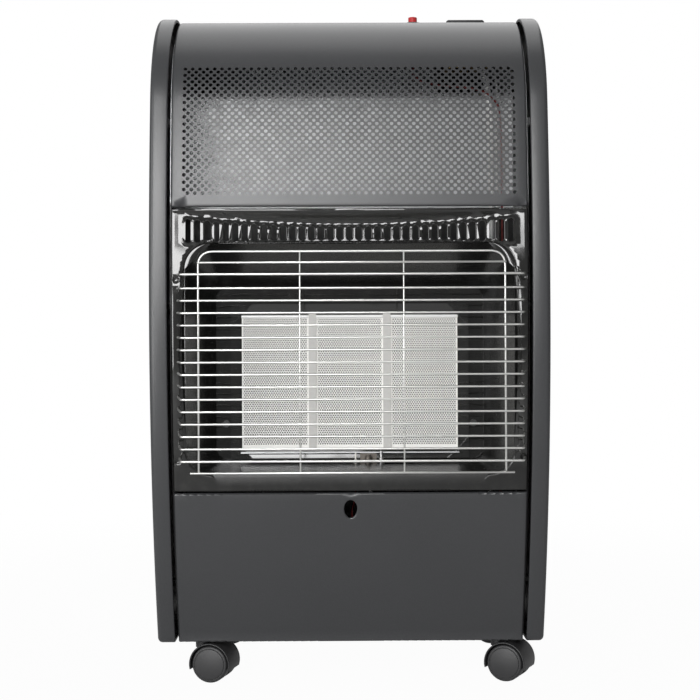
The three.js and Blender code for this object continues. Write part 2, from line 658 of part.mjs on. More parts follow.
// Deep cover over the bottle compartment, with vents and two ears for the tilt pins.
function rearCover() {
  const bottom = FLOOR_GAP + COVER_LIFT;
  const top = backDropZ - GAP * 2;
  const half = panelX;
  const shell = cut(
    box(-half, half, coverFrontY, coverBackY, bottom, top),
    box(-half + SHEET, half - SHEET, coverFrontY - 1, coverBackY - SHEET, bottom + SHEET, top - SHEET),
  );
  const ears = [-1, 1].map((side) =>
    box(...span(side, half - SHEET, half), coverBackY - 5, pivotY + COVER_EAR,
      bottom, TILT_PIN_Z + COVER_EAR * 2));
  const bores = [-1, 1].map((side) =>
    rod([side * (half - 3), pivotY, TILT_PIN_Z], [side * (half + 3), pivotY, TILT_PIN_Z],
      TILT_PIN_RADIUS + PIN_CLEARANCE, 12));
  const vents = [-1, 1].flatMap((side) =>
    evenly(0, VENT_COUNT - 1, VENT_COUNT - 1).map((i) => {
      const z = top - VENT_DROP - i * VENT_PITCH;
      return box(...span(side, VENT_X, VENT_X + VENT_WIDTH), coverBackY - 5, coverBackY + 5,
        z, z + VENT_HEIGHT);
    }));
  return cut(join(shell, ...ears), ...bores, ...vents);
}

// ---- Burners ------------------------------------------------------------------------------------

const plaqueX = [-plaquePitch, 0, plaquePitch];

// One pressed housing with three pockets, open at the front and into the venturis below.
function burnerHousing() {
  const back = housingBackY;
  const low = PLAQUE_BOTTOM - HOUSING_MARGIN;
  const block = box(-housingX, housingX, plaqueY + 1, back, low, plaqueTop + HOUSING_MARGIN);
  const lipX = housingX - HOUSING_MARGIN;
  const lip = box(-lipX, lipX, plaqueY - 6, plaqueY + 2, low, low + 1.5);
  const pockets = plaqueX.flatMap((x) => {
    const half = PLAQUE_WIDTH / 2 + GAP;
    return [
      box(x - half, x + half, plaqueY - 1, plaqueY + PLAQUE_DEPTH + GAP,
        PLAQUE_BOTTOM - GAP, plaqueTop + GAP),
      box(x - half + SEAT_STEP, x + half - SEAT_STEP, plaqueY, back - 2,
        PLAQUE_BOTTOM + SEAT_STEP, plaqueTop - SEAT_STEP),
      rod([x, venturiY, low - 1], [x, venturiY, PLAQUE_BOTTOM + SEAT_STEP + 1], VENTURI_RADIUS - 5, 12),
    ];
  });
  return cut(join(block, lip), ...pockets);
}

const venturiY = plaqueY + PLAQUE_DEPTH + (HOUSING_DEPTH - PLAQUE_DEPTH) / 2;
const venturiTop = PLAQUE_BOTTOM - HOUSING_MARGIN - GAP;
const venturiBottom = venturiTop - VENTURI_LENGTH;

// A waisted tube that draws air in around the injector.
function venturi(x) {
  const wall = 1;
  const waist = VENTURI_RADIUS * 0.6;
  const outside = [
    [VENTURI_RADIUS - 2, venturiTop],
    [waist, venturiTop - VENTURI_LENGTH * 0.5],
    [VENTURI_RADIUS, venturiBottom],
  ];
  const inside = outside.map(([radius, z]) => [radius - wall, z]).reverse();
  return turned([...outside, ...inside, outside[0]].reverse(), x, venturiY, 14);
}

// Level pipe with an injector under each venturi and two feet on the heat shield.
function gasManifold() {
  const z = manifoldZ;
  const bar = rod([-plaquePitch - 16, venturiY, z], [manifoldEndX, venturiY, z], MANIFOLD_RADIUS, 12);
  const injectors = plaqueX.map((x) =>
    rod([x, venturiY, z], [x, venturiY, venturiBottom + 5], INJECTOR_RADIUS, 10));
  const feet = [-0.5, 0.5].map((place) => {
    const x = place * plaquePitch;
    return box(x - 8, x + 8, venturiY, shieldY - GAP, z - 2, z + 2);
  });
  return join(bar, ...injectors, ...feet);
}

const manifoldEndX = plaquePitch + 40;
const manifoldZ = venturiBottom - MANIFOLD_RADIUS - 2;

// ---- Wire guard ---------------------------------------------------------------------------------

function guardHeights() {
  const gaps = [...GUARD_TOP_GAPS, ...Array(GUARD_EVEN_GAPS).fill(GUARD_PITCH), GUARD_LAST_GAP];
  return gaps.reduce((heights, gap) => [...heights, heights.at(-1) - gap], [GUARD_TOP]);
}

function wireGuard() {
  const heights = guardHeights();
  const reach = windowX + GUARD_OVERLAP;
  const outerPost = windowX - OUTER_POST_INSET;
  const wire = (from, to) => rod(from, to, WIRE_RADIUS, 4);
  const bottom = heights.at(-1);
  const level = (z, half) => wire([-half, guardY, z], [half, guardY, z]);
  const pieces = [level(heights[1], outerPost + WIRE_RADIUS / 2), level(bottom, windowX - BOTTOM_WIRE_INSET)];
  for (const z of heights.slice(2, -1)) {
    pieces.push(level(z, reach));
    for (const side of [-1, 1]) {
      const endX = reach + HOOK_SPREAD;
      const end = [side * endX, surroundY(endX + GUARD_SHIFT, z) - GAP * 2, z];
      pieces.push(wire([side * (reach - WIRE_RADIUS), guardY, z], end));
    }
  }
  for (const x of [-INNER_POST_X, INNER_POST_X]) {
    pieces.push(wire([x, guardY, GUARD_TOP], [x, guardY, bottom]));
  }
  // The outer loop: up one side, round the corners and along the top.
  const centre = [outerPost - GUARD_CORNER, GUARD_TOP - GUARD_CORNER];
  const quarter = evenly(0, RIGHT_ANGLE, 3).map((a) =>
    [centre[0] + GUARD_CORNER * Math.cos(a), centre[1] + GUARD_CORNER * Math.sin(a)]);
  const other = quarter.map(([x, z]) => [-x, z]).reverse();
  const loop = [[outerPost, bottom], ...quarter, ...other, [-outerPost, bottom]];
  loop.slice(1).forEach(([x, z], i) => pieces.push(wire([loop[i][0], guardY, loop[i][1]], [x, guardY, z])));
  return join(...pieces).translate(GUARD_SHIFT, 0, 0);
}

// ---- Pilot assembly -----------------------------------------------------------------------------

// An angle plate: its shelf holds the three probes, its upright lies under the housing's lip.
function pilotBracket() {
  const shelfZ = PLAQUE_BOTTOM - HOUSING_MARGIN - 12;
  const reach = PILOT_SPACING + PILOT_RADIUS;
  const shelf = box(PILOT_X - reach, PILOT_X + reach, pilotY - 6, pilotY + 7, shelfZ, shelfZ + 1);
  const top = PLAQUE_BOTTOM - HOUSING_MARGIN - GAP;
  const upright = box(PILOT_X - 9, PILOT_X + 9, pilotY + 6, pilotY + 7, shelfZ, top);
  const holes = [-1, 0, 1].map((place) => {
    const x = PILOT_X + place * PILOT_SPACING;
    return rod([x, pilotY, shelfZ - 1], [x, pilotY, shelfZ + 2], PILOT_RADIUS - (place ? 1.5 : 0) + GAP, 12);
  });
  return cut(join(shelf, upright), ...holes);
}

function pilotBurner() {
  return turned([
    [0, pilotLow], [PILOT_RADIUS, pilotLow], [PILOT_RADIUS, PILOT_TOP - 3],
    [PILOT_RADIUS - 1.5, PILOT_TOP], [0, PILOT_TOP],
  ], PILOT_X, pilotY);
}

function probe(place, top, tip) {
  const radius = PILOT_RADIUS - 1.5;
  return turned([
    [0, pilotLow], [radius, pilotLow], [radius, top], [tip, top + 1.5], [tip, top + 8], [0, top + 8],
  ], PILOT_X + place * PILOT_SPACING, pilotY, 12);
}

// ---- Gas line and leads -------------------------------------------------------------------------

const valveTop = wellFloorZ - SHEET - GAP;
const valveLow = valveTop - VALVE_HEIGHT;
const sideRunX = panelX - SIDE_RUN_INSET;
const sideRunY = shieldY - SIDE_RUN_GAP;

// Valve body under the control well, bored for the spindle.
function gasValve() {
  const [halfX, halfY] = [VALVE_WIDTH / 2, VALVE_LENGTH / 2];
  const body = box(KNOB_X - halfX, KNOB_X + halfX, knobY - halfY, knobY + halfY, valveLow, valveTop);
  const floor = valveTop - SPINDLE_BORE;
  const bore = rod([KNOB_X, knobY, floor], [KNOB_X, knobY, valveTop + 5], SPINDLE_RADIUS + GAP * 2, 16);
  return cut(body, bore);
}

// Threaded inlet with a ribbed tail for the hose, at the back of the valve.
function hoseNozzle() {
  const ribs = evenly(0, 3, 3).flatMap((i) => [[5.2, 12 + i * 6], [4.2, 17.8 + i * 6]]);
  const profile = [[2, 0], [7, 0], [7, 8], [4.6, 8.2], ...ribs, [3.6, 38], [2, 38], [2, 0]];
  const points = profile.map(([radius, height]) => new THREE.Vector2(radius, height));
  const socket = new THREE.LatheGeometry(points, 14);
  return socket.translate(KNOB_X, knobY + VALVE_LENGTH / 2 + GAP, (valveLow + valveTop) / 2);
}

// Gas pipe from the valve's front down the right side and in to the manifold.
function supplyPipe() {
  const startY = knobY - VALVE_LENGTH / 2 - GAP;
  const z = valveLow + 10;
  return tube([
    [KNOB_X, startY, z], [KNOB_X, startY - 14, z], [sideRunX - 6, sideRunY + 6, z - 24],
    [sideRunX, sideRunY, z - 60], [sideRunX, sideRunY, BULGE_HEIGHT],
    [sideRunX, sideRunY, manifoldZ + 40], [sideRunX - 8, venturiY + 2, manifoldZ + 8],
    [manifoldEndX + 16, venturiY, manifoldZ], [manifoldEndX + GAP, venturiY, manifoldZ],
  ], PIPE_RADIUS, 6, 44);
}

// Thin pipe from the valve to the pilot burner.
function pilotPipe() {
  const startY = knobY - VALVE_LENGTH / 2 - GAP;
  const z = valveLow + 20;
  const x = sideRunX + PILOT_PIPE_SPACE;
  const low = pilotLow - PILOT_PIPE_SAG;
  return tube([
    [KNOB_X + 18, startY, z], [KNOB_X + 18, startY - 12, z], [x, sideRunY + 4, z - 40], [x, sideRunY, z - 80],
    [x, sideRunY, BULGE_HEIGHT], [x, sideRunY, low + 34], [x - 8, sideRunY - 6, low + 9],
    [x - 40, pilotY + 4, low],
    [PILOT_X + 22, pilotY, low], [PILOT_X + 2, pilotY, low + 8], [PILOT_X, pilotY, pilotLow - GAP],
  ], PILOT_PIPE_RADIUS, 5, 48);
}

// Silicone lead from the igniter down the right side and across to the electrode.
function ignitionLead() {
  const x = sideRunX + LEAD_SPACE;
  const electrodeX = PILOT_X - PILOT_SPACING;
  const frontY = sideRunY - SIDE_RUN_GAP - 2;
  const start = topZ - IGNITER_LENGTH;
  const turnZ = topZ - LEAD_DROP;
  const low = pilotLow - LEAD_SAG;
  return tube([
    [IGNITER_X, igniterY, start - GAP], [IGNITER_X, igniterY, start - 12],
    [IGNITER_X + 22, igniterY - 34, turnZ + 8], [x - 48, frontY, turnZ + 2],
    [x - 18, frontY, turnZ - 4], [x - 3, sideRunY - 6, turnZ - 18], [x, sideRunY, turnZ - 48],
    [x, sideRunY, BULGE_HEIGHT], [x, sideRunY, low + 48], [x - 12, sideRunY - 10, low + 10],
    [x - 60, pilotY, low],
    [PILOT_X, pilotY - 4, low], [electrodeX - 6, pilotY, low + 6], [electrodeX, pilotY, low + 28],
    [electrodeX, pilotY, pilotLow - GAP],
  ], LEAD_RADIUS, 5, 56);
}

// ---- Controls -----------------------------------------------------------------------------------

// A small tray let into the top, its rim lying on the panel.
function controlWell() {
  const halfX = WELL_WIDTH / 2;
  const halfY = WELL_LENGTH / 2;
  const around = (grow, low, high) =>
    box(KNOB_X - halfX - grow, KNOB_X + halfX + grow, knobY - halfY - grow, knobY + halfY + grow, low, high);
  const rim = around(WELL_RIM, topZ + GAP, topZ + GAP + SHEET);
  const hollow = around(-SHEET, wellFloorZ, topZ + 9);
  const bore = rod(
    [KNOB_X, knobY, wellFloorZ - 5], [KNOB_X, knobY, wellFloorZ + 5], SPINDLE_RADIUS + GAP * 2, 16,
  );
  return cut(join(around(0, wellFloorZ - SHEET, topZ + 1), rim), hollow, bore);
}

const knobLow = wellFloorZ + PUSH_TRAVEL + 1;

// Round knob with a grip bar and a blind bore for the spindle.
function controlKnob() {
  const profile = [
    [0, knobLow], [KNOB_RADIUS, knobLow], [KNOB_RADIUS, knobLow + 5],
    [KNOB_RADIUS - 3, knobLow + 8], [0, knobLow + 8],
  ];
  const gripX = KNOB_RADIUS - 2;
  const grip = carried(roundedRectangle(-gripX, gripX, knobLow + 2, knobLow + KNOB_HEIGHT, 3, 3), -4.5, 4.5)
    .translate(KNOB_X, knobY, 0);
  const bore = rod([KNOB_X, knobY, knobLow - 1], [KNOB_X, knobY, knobLow + 9], SPINDLE_RADIUS + GAP, 24);
  return cut(join(turned(profile, KNOB_X, knobY, 28), grip), bore);
}

function valveSpindle() {
  const foot = valveTop - SPINDLE_BORE + PUSH_TRAVEL + 1;
  return rod([KNOB_X, knobY, foot], [KNOB_X, knobY, knobLow + 8.5], SPINDLE_RADIUS, 24);
}

const bezelTop = topZ + GAP + 4;
const buttonLow = topZ + BUTTON_REACH - BUTTON_LENGTH;

// Piezo igniter: a bezel on the top, a neck through it and a barrel below, bored for the button.
function igniterBody() {
  const low = topZ - IGNITER_LENGTH;
  const bore = BUTTON_RADIUS + 0.5;
  return turned([
    [0, low], [IGNITER_RADIUS - 1, low], [IGNITER_RADIUS, low + 2], [IGNITER_RADIUS, topZ + GAP],
    [IGNITER_RADIUS + 2.5, topZ + GAP], [IGNITER_RADIUS + 2.5, bezelTop - 1.5],
    [IGNITER_RADIUS + 1, bezelTop], [bore, bezelTop],
    [bore, buttonLow - PUSH_TRAVEL - 1], [0, buttonLow - PUSH_TRAVEL - 1],
  ], IGNITER_X, igniterY, 20);
}

function igniterNut() {
  const top = topZ - SHEET - GAP;
  const ring = rod([IGNITER_X, igniterY, top - 4], [IGNITER_X, igniterY, top], IGNITER_RADIUS + 3, 6);
  const bore = rod(
    [IGNITER_X, igniterY, top - 6], [IGNITER_X, igniterY, top + 2], IGNITER_RADIUS + GAP, 20,
  );
  return cut(ring, bore);
}

function igniterButton() {
  const top = topZ + BUTTON_REACH;
  return turned([
    [0, buttonLow], [BUTTON_RADIUS, buttonLow], [BUTTON_RADIUS, top - 1], [BUTTON_RADIUS - 1, top], [0, top],
  ], IGNITER_X, igniterY, 20);
}

// A pan-head screw in the reflector's back wall.
function reflectorScrew(side) {
  const x = (side * (housingX + backWallX)) / 2;
  return rod([x, plaqueY - GAP - 2, SCREW_Z], [x, plaqueY - GAP, SCREW_Z], 4, 12);
}

// ---- Casters ------------------------------------------------------------------------------------

function casterPlaces() {
  return Object.entries(CASTER_TURNS).map(([name, degrees]) => ({
    name,
    x: (name.endsWith("left") ? -1 : 1) * (panelX - CASTER_SIDE_INSET),
    y: name.startsWith("front") ? panFront() + CASTER_FRONT_INSET : rearY - CASTER_REAR_INSET,
    turn: THREE.MathUtils.degToRad(degrees),
  }));
}

const collarTop = panZ - GAP;
const collarLow = collarTop - COLLAR_HEIGHT;
const wheelIn = WEB_WIDTH / 2 + GAP;
const wheelOut = wheelIn + WHEEL_WIDTH;

// Fixed pin with a collar under the pan and a neck through it.
function casterStem() {
  const neck = STEM_RADIUS + 1.5;
  return turned([
    [0, WHEEL_RADIUS + 5], [STEM_RADIUS, WHEEL_RADIUS + 5], [STEM_RADIUS, collarLow],
    [COLLAR_RADIUS, collarLow],
    [COLLAR_RADIUS, collarTop], [neck, collarTop], [neck, panZ + 20], [0, panZ + 20],
  ], 0, 0, 12);
}

// Fender over both wheels, a web between them and a boss for the stem; the stem's axis is at the origin.
function casterHood() {
  const half = wheelOut + 1;
  const arc = (radius, from, to, steps) =>
    evenly(from, to, steps).map((a) =>
      [CASTER_TRAIL + radius * Math.cos(a), WHEEL_RADIUS + radius * Math.sin(a)]);
  const start = -0.3;
  const end = Math.PI + 0.25;
  const rims = [...arc(HOOD_RADIUS, start, end, 12), ...arc(HOOD_RADIUS - HOOD_WALL, end, start, 12)];
  const fender = carried(rims, -half, half);
  const webArc = arc(HOOD_RADIUS - HOOD_WALL / 2, start, end, 12);
  const underside = arc(AXLE_RADIUS + 4, end, 2 * Math.PI + start, 4);
  const web = carried([...webArc, ...underside], -WEB_WIDTH / 2, WEB_WIDTH / 2);
  const bossTop = collarLow - GAP;
  const boss = rod([0, 0, WHEEL_RADIUS + HOOD_RADIUS - 7], [0, 0, bossTop], COLLAR_RADIUS, 12);
  const level = (y0, y1, radius, sides) =>
    rod([CASTER_TRAIL, y0, WHEEL_RADIUS], [CASTER_TRAIL, y1, WHEEL_RADIUS], radius, sides);
  const wheelRoom = [-1, 1].map((side) => {
    const [y0, y1] = span(side, WEB_WIDTH / 2, half - 1);
    return level(y0, y1, HOOD_RADIUS - HOOD_WALL - 0.4, 16);
  });
  const shell = cut(join(fender, boss), ...wheelRoom);
  const stemBore = rod([0, 0, WHEEL_RADIUS + 4], [0, 0, bossTop + 2], STEM_RADIUS + RUNNING, 12);
  return cut(join(shell, web), stemBore, level(-half - 1, half + 1, AXLE_RADIUS + GAP, 12));
}

function casterAxle() {
  const half = wheelOut - 3;
  return rod([CASTER_TRAIL, -half, WHEEL_RADIUS], [CASTER_TRAIL, half, WHEEL_RADIUS], AXLE_RADIUS, 12);
}

// A closed disc with a groove round its face and a blind bore from inside; `side` -1 faces the front.
function casterWheel(side) {
  const bore = AXLE_RADIUS + RUNNING;
  const face = wheelOut;
  const facet = Math.PI / WHEEL_SEGMENTS; // the wheel rests on a flat facet, not on an edge
  const tread = WHEEL_RADIUS / Math.cos(facet);
  const profile = [
    [0, face], [tread - 3.2, face], [tread - 2.8, face - 0.8], [tread - 0.8, face - 0.8],
    [tread, face - 2.4], [tread, wheelIn], [bore, wheelIn], [bore, face - 2.5], [0, face - 2.5],
  ].reverse();
  const points = profile.map(([radius, height]) => new THREE.Vector2(radius, height));
  const disc = new THREE.LatheGeometry(points, WHEEL_SEGMENTS).rotateY(facet);
  if (side < 0) disc.rotateX(2 * RIGHT_ANGLE);
  return disc.translate(CASTER_TRAIL, 0, WHEEL_RADIUS);
}

function addCasters() {
  for (const { name, x, y, turn } of casterPlaces()) {
    const caster = new THREE.Group();
    caster.position.set(x, y, 0);
    caster.rotation.z = turn;
    heater.add(caster);
    add(`${name}_caster_stem`, casterStem(), "steel", caster);
    add(`${name}_caster_hood`, casterHood(), "blackPlastic", caster);
    add(`${name}_caster_axle`, casterAxle(), "steel", caster);
    add(`${name}_caster_wheel_a`, casterWheel(-1), "blackPlastic", caster);
    add(`${name}_caster_wheel_b`, casterWheel(1), "blackPlastic", caster);
  }
}

// ---- Assembly -----------------------------------------------------------------------------------

for (const [side, word] of [[-1, "left"], [1, "right"]]) {
  add(`${word}_side_panel`, sidePanel(side), "powderCoat");
  add(`${word}_side_frame`, sideFrame(side), "galvanised");
}
add("top_panel", topPanel(), "powderCoat");
add("burner_surround", burnerSurround(), "enamel");
add("reflector_box", reflectorBox(), "enamel");
add("lower_front_panel", lowerFrontPanel(), "powderCoat");
add("base_pan", basePan(), "powderCoat");
add("heat_shield", heatShield(), "galvanised");
add("heat_shield_top", heatShieldTop(), "galvanised");
add("rear_cover", rearCover(), "powderCoat");
add("wire_guard", wireGuard(), "wire");

add("burner_housing", burnerHousing(), "galvanised");
["left", "middle", "right"].forEach((word, i) => {
  const x = plaqueX[i];
  const half = PLAQUE_WIDTH / 2;
  const plaque = box(x - half, x + half, plaqueY, plaqueY + PLAQUE_DEPTH, PLAQUE_BOTTOM, plaqueTop);
  add(`ceramic_plaque_${word}`, plaque, "ceramic");
  add(`venturi_${word}`, venturi(x), "steel");
});
[["left", -0.5], ["right", 0.5]].forEach(([word, place]) => {
  const x = place * plaquePitch;
  const half = PLAQUE_SPACE / 2 + STRIP_OVERLAP;
  const front = plaqueY - GAP - STRIP_DEPTH;
  const strip = box(x - half, x + half, front, plaqueY - GAP, PLAQUE_BOTTOM, plaqueTop);
  add(`plaque_strip_${word}`, strip, "strip");
});
add("gas_manifold", gasManifold(), "steel");
add("pilot_bracket", pilotBracket(), "steel");
add("pilot_burner", pilotBurner(), "brass");
add("ignition_electrode", probe(-1, PILOT_TOP - 6, 0.8), "porcelain");
add("thermocouple", probe(1, PILOT_TOP - 4, 1.6), "steel");
add("gas_valve", gasValve(), "aluminium");
add("hose_nozzle", hoseNozzle(), "brass");
add("supply_pipe", supplyPipe(), "aluminium");
add("pilot_pipe", pilotPipe(), "aluminium");
add("ignition_lead", ignitionLead(), "redLead");
add("control_well", controlWell(), "powderCoat");
add("control_knob", controlKnob(), "blackPlastic");
add("valve_spindle", valveSpindle(), "brass");
add("igniter_body", igniterBody(), "blackPlastic");
add("igniter_nut", igniterNut(), "steel");
add("igniter_button", igniterButton(), "redPlastic");
add("reflector_screw_left", reflectorScrew(-1), "steel");
add("reflector_screw_right", reflectorScrew(1), "steel");
addCasters();

export default heater;
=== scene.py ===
# %% [markdown]
# # A portable gas cabinet heater
# The heater is a steel cabinet on casters. Its looks come from four things: satin powder-coated sheet,
# gloss black enamel, white ceramic burners and a bright wire guard. The solids of every piece come from
# the frame; each step below dresses one of them, either with a finish or with a finer surface.

# %% Load the frame
import json
import math

import bmesh
import bpy
import numpy as np
from mathutils import Matrix
from mathutils.geometry import delaunay_2d_cdt

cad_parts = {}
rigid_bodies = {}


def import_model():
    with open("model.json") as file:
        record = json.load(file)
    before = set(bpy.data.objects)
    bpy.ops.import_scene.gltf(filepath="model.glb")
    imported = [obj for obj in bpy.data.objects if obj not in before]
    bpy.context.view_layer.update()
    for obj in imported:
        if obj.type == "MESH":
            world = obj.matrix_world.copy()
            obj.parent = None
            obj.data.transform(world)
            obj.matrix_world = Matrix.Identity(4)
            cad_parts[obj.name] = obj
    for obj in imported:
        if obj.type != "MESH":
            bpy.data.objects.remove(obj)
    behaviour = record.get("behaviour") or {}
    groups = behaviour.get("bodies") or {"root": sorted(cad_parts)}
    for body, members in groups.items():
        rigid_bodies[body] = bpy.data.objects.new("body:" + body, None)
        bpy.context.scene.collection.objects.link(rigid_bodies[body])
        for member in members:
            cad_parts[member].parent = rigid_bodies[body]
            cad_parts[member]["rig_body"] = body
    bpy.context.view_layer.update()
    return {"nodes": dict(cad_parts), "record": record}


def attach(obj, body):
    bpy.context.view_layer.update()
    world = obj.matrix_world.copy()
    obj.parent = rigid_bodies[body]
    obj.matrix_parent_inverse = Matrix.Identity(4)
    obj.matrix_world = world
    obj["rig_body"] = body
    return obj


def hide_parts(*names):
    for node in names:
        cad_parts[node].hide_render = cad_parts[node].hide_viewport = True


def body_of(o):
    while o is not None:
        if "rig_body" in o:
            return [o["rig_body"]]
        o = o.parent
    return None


for thing in list(bpy.data.objects):
    bpy.data.objects.remove(thing)
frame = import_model()

# %% [markdown]
# ## The camera
# It stands 1.75 m in front of the origin, at half the heater's height, and looks level. A long lens keeps
# the side panels nearly parallel, as a product photograph does. It leans a quarter of a degree.

# %% Place the camera
def standing(*columns):
    """The matrix of a thing with these three axes at this place."""
    matrix = np.eye(4)
    matrix[:3] = np.stack(columns, 1)
    return Matrix(matrix.tolist())


EYE = np.array([-0.0092, -1.7499, 0.3553])
FOCAL_PIXELS, PICTURE_PIXELS, SENSOR = 1490.9, 700, 36
YAW, PITCH, ROLL = np.radians([0.335, 0.258, -0.248])
forward = np.array([math.sin(YAW) * math.cos(PITCH), math.cos(YAW) * math.cos(PITCH), math.sin(PITCH)])
level = np.array([math.cos(YAW), -math.sin(YAW), 0.0])
upward = np.cross(level, forward)
right = level * math.cos(ROLL) + upward * math.sin(ROLL)
up = upward * math.cos(ROLL) - level * math.sin(ROLL)
lens = bpy.data.cameras.new("camera")
lens.lens, lens.sensor_width = SENSOR * FOCAL_PIXELS / PICTURE_PIXELS, SENSOR
camera = bpy.data.objects.new("camera", lens)
camera.matrix_world = standing(right, up, -forward, EYE)
bpy.context.scene.collection.objects.link(camera)
bpy.context.scene.camera = camera
bpy.context.scene.view_settings.view_transform = "Standard"
print("camera:", EYE.tolist(), "lens", round(lens.lens, 1), "mm")

# %% [markdown]
# ## Shader sums
# Finishes are written as sums on node sockets. A wrapped socket adds, multiplies and compares like a
# number, and one method makes every other node, so a pattern reads as its formula.

# %% Wrap the sockets
class Wire:
    """A node's output that can be used in a sum."""

    def __init__(self, paint, socket):
        self.paint, self.socket = paint, socket

    def sum(self, operation, *values):
        return self.paint.node("Math", {"operation": operation}, dict(enumerate(values)))

    def __add__(self, other): return self.sum("ADD", self, other)
    def __radd__(self, other): return self.sum("ADD", other, self)
    def __sub__(self, other): return self.sum("SUBTRACT", self, other)
    def __rsub__(self, other): return self.sum("SUBTRACT", other, self)
    def __mul__(self, other): return self.sum("MULTIPLY", self, other)
    def __rmul__(self, other): return self.sum("MULTIPLY", other, self)
    def __truediv__(self, other): return self.sum("DIVIDE", self, other)
    def __mod__(self, other): return self.sum("FLOORED_MODULO", self, other)
    def __abs__(self): return self.sum("ABSOLUTE", self)
    def top(self, other): return self.sum("MAXIMUM", self, other)
    def floor(self): return self.sum("FLOOR", self)
    def root(self): return self.sum("SQRT", self)

    def step(self, low, high):
        """0 below low, 1 above high, and a smooth rise between."""
        ends = {0: self, 1: low, 2: high, 3: 0.0, 4: 1.0}
        return self.paint.node("MapRange", {"interpolation_type": "SMOOTHSTEP"}, ends)


class Paint:
    """One finish: a material whose nodes are made by node(). The sky is made in the same way."""

    def __init__(self, name, kind=bpy.data.materials, shader="Principled BSDF"):
        self.material = kind.new(name)
        self.material.use_nodes = True
        self.tree = self.material.node_tree
        self.shader = self.tree.nodes[shader]

    def node(self, kind, settings=None, sockets=None, out=0):
        """A node of a kind, its settings first, then its sockets' values or links; gives one output."""
        made = self.tree.nodes.new("ShaderNode" + kind)
        for key, value in (settings or {}).items():
            setattr(made, key, value)
        for key, value in (sockets or {}).items():
            self.set(made.inputs[key], value)
        return Wire(self, made.outputs[out])

    def set(self, socket, value):
        """A socket takes a link from a Wire, or else a plain value."""
        if isinstance(value, Wire):
            self.tree.links.new(value.socket, socket)
        else:
            socket.default_value = value

    def at(self):
        """The place on the surface: x, y, z in metres, and the whole vector."""
        place = self.node("TexCoord", out="Object")
        return [self.node("SeparateXYZ", sockets={0: place}, out=i) for i in range(3)] + [place]

    def noise(self, size, detail=2.0, roughness=0.5):
        """Cloudy noise whose features are about `size` metres across."""
        sockets = {"Vector": self.at()[3], "Scale": 1 / size, "Detail": detail, "Roughness": roughness}
        return self.node("TexNoise", sockets=sockets)

    def mix(self, factor, *colors):
        """The first colour where the factor is 0, and the second where it is 1."""
        first, second = ((*color, 1) if isinstance(color, tuple) else color for color in colors)
        return self.node("Mix", {"data_type": "RGBA"}, {0: factor, 6: first, 7: second}, out=2)

    def bump(self, height, distance, strength):
        """Light falls on the surface as if its height rose by the distance where the height is 1."""
        normal = self.node("Bump", sockets={"Strength": strength, "Distance": distance, "Height": height})
        self.set(self.shader.inputs["Normal"], normal)

    def surface(self, **values):
        """Sets the shader's sockets by their names, with _ for a space, and gives the material."""
        for key, value in values.items():
            socket = self.shader.inputs[key.replace("_", " ")]
            self.set(socket, (*value, 1) if isinstance(value, tuple) else value)
        return self.material


print("wrapped sockets ready")

# %% [markdown]
# ## Powder coat
# Satin anthracite powder is melted onto the steel. Up close it has a fine orange-peel texture about a
# millimetre across, and its colour hardly varies. The texture breaks up the highlights, so it is a bump.

# %% Powder coat
def powder_coat():
    """Colour: dark grey with faint cloudiness. Height: fine grain on a coarser orange peel."""
    paint = Paint("powder_coat")
    grain, peel, cloud = paint.noise(0.0011, 3.0, 0.6), paint.noise(0.004, 1.0), paint.noise(0.09, 2.0)
    tint = grain.step(0.35, 0.72) * 0.5 + cloud * 0.3
    color = paint.mix(tint, (0.030, 0.031, 0.033), (0.044, 0.045, 0.048))
    paint.bump(grain * 0.7 + peel * 0.3, 0.00022, 0.45)
    return paint.surface(Base_Color=color, Roughness=grain * 0.08 + cloud * 0.05 + 0.28, IOR=1.55)


# %% [markdown]
# ## Enamel
# The surround and the reflector are coated with glassy black enamel. Its skin is very smooth but the
# sheet under it is not quite flat, so reflections waver: a wide, shallow bump does that.

# %% Enamel
def enamel(name, rough, coat, low=-1.0, smooth_behind=1.0):
    """Colour: black. Height: a slow ripple of the sheet. Dust and, below `low`, soot make it rougher.

    Behind the depth `smooth_behind` the skin is cleaner, so it mirrors more sharply."""
    paint = Paint(name)
    rough = rough - paint.at()[1].step(smooth_behind, smooth_behind + 0.002) * rough * 0.8
    soot = 1 - paint.at()[2].step(low, low + 0.012)
    ripple, dust = paint.noise(0.035, 1.0), paint.noise(0.012, 4.0, 0.65)
    paint.bump(ripple, 0.0012, 0.35)
    color = paint.mix(dust.step(0.45, 0.75), (0.009, 0.009, 0.0085), (0.016, 0.016, 0.015))
    return paint.surface(Base_Color=color, Roughness=dust.step(0.4, 0.8) * 0.06 + soot * 0.3 + rough,
                         Coat_Weight=(1 - soot) * coat, Coat_Roughness=0.03)


# %% [markdown]
# ## Metals
# Zinc-plated sheet has a spangle of crystals a few millimetres across, each with its own shine. Plated
# wire, drawn pipe, turned brass and pressed steel differ in colour, shine and the size of their marks.

# %% Metals
# Below this height the front of the heat shield is painted near-black: painted shade.
PAINTED_SHADE_TOP, SHIELD_MIDDLE = 0.516, -0.0736


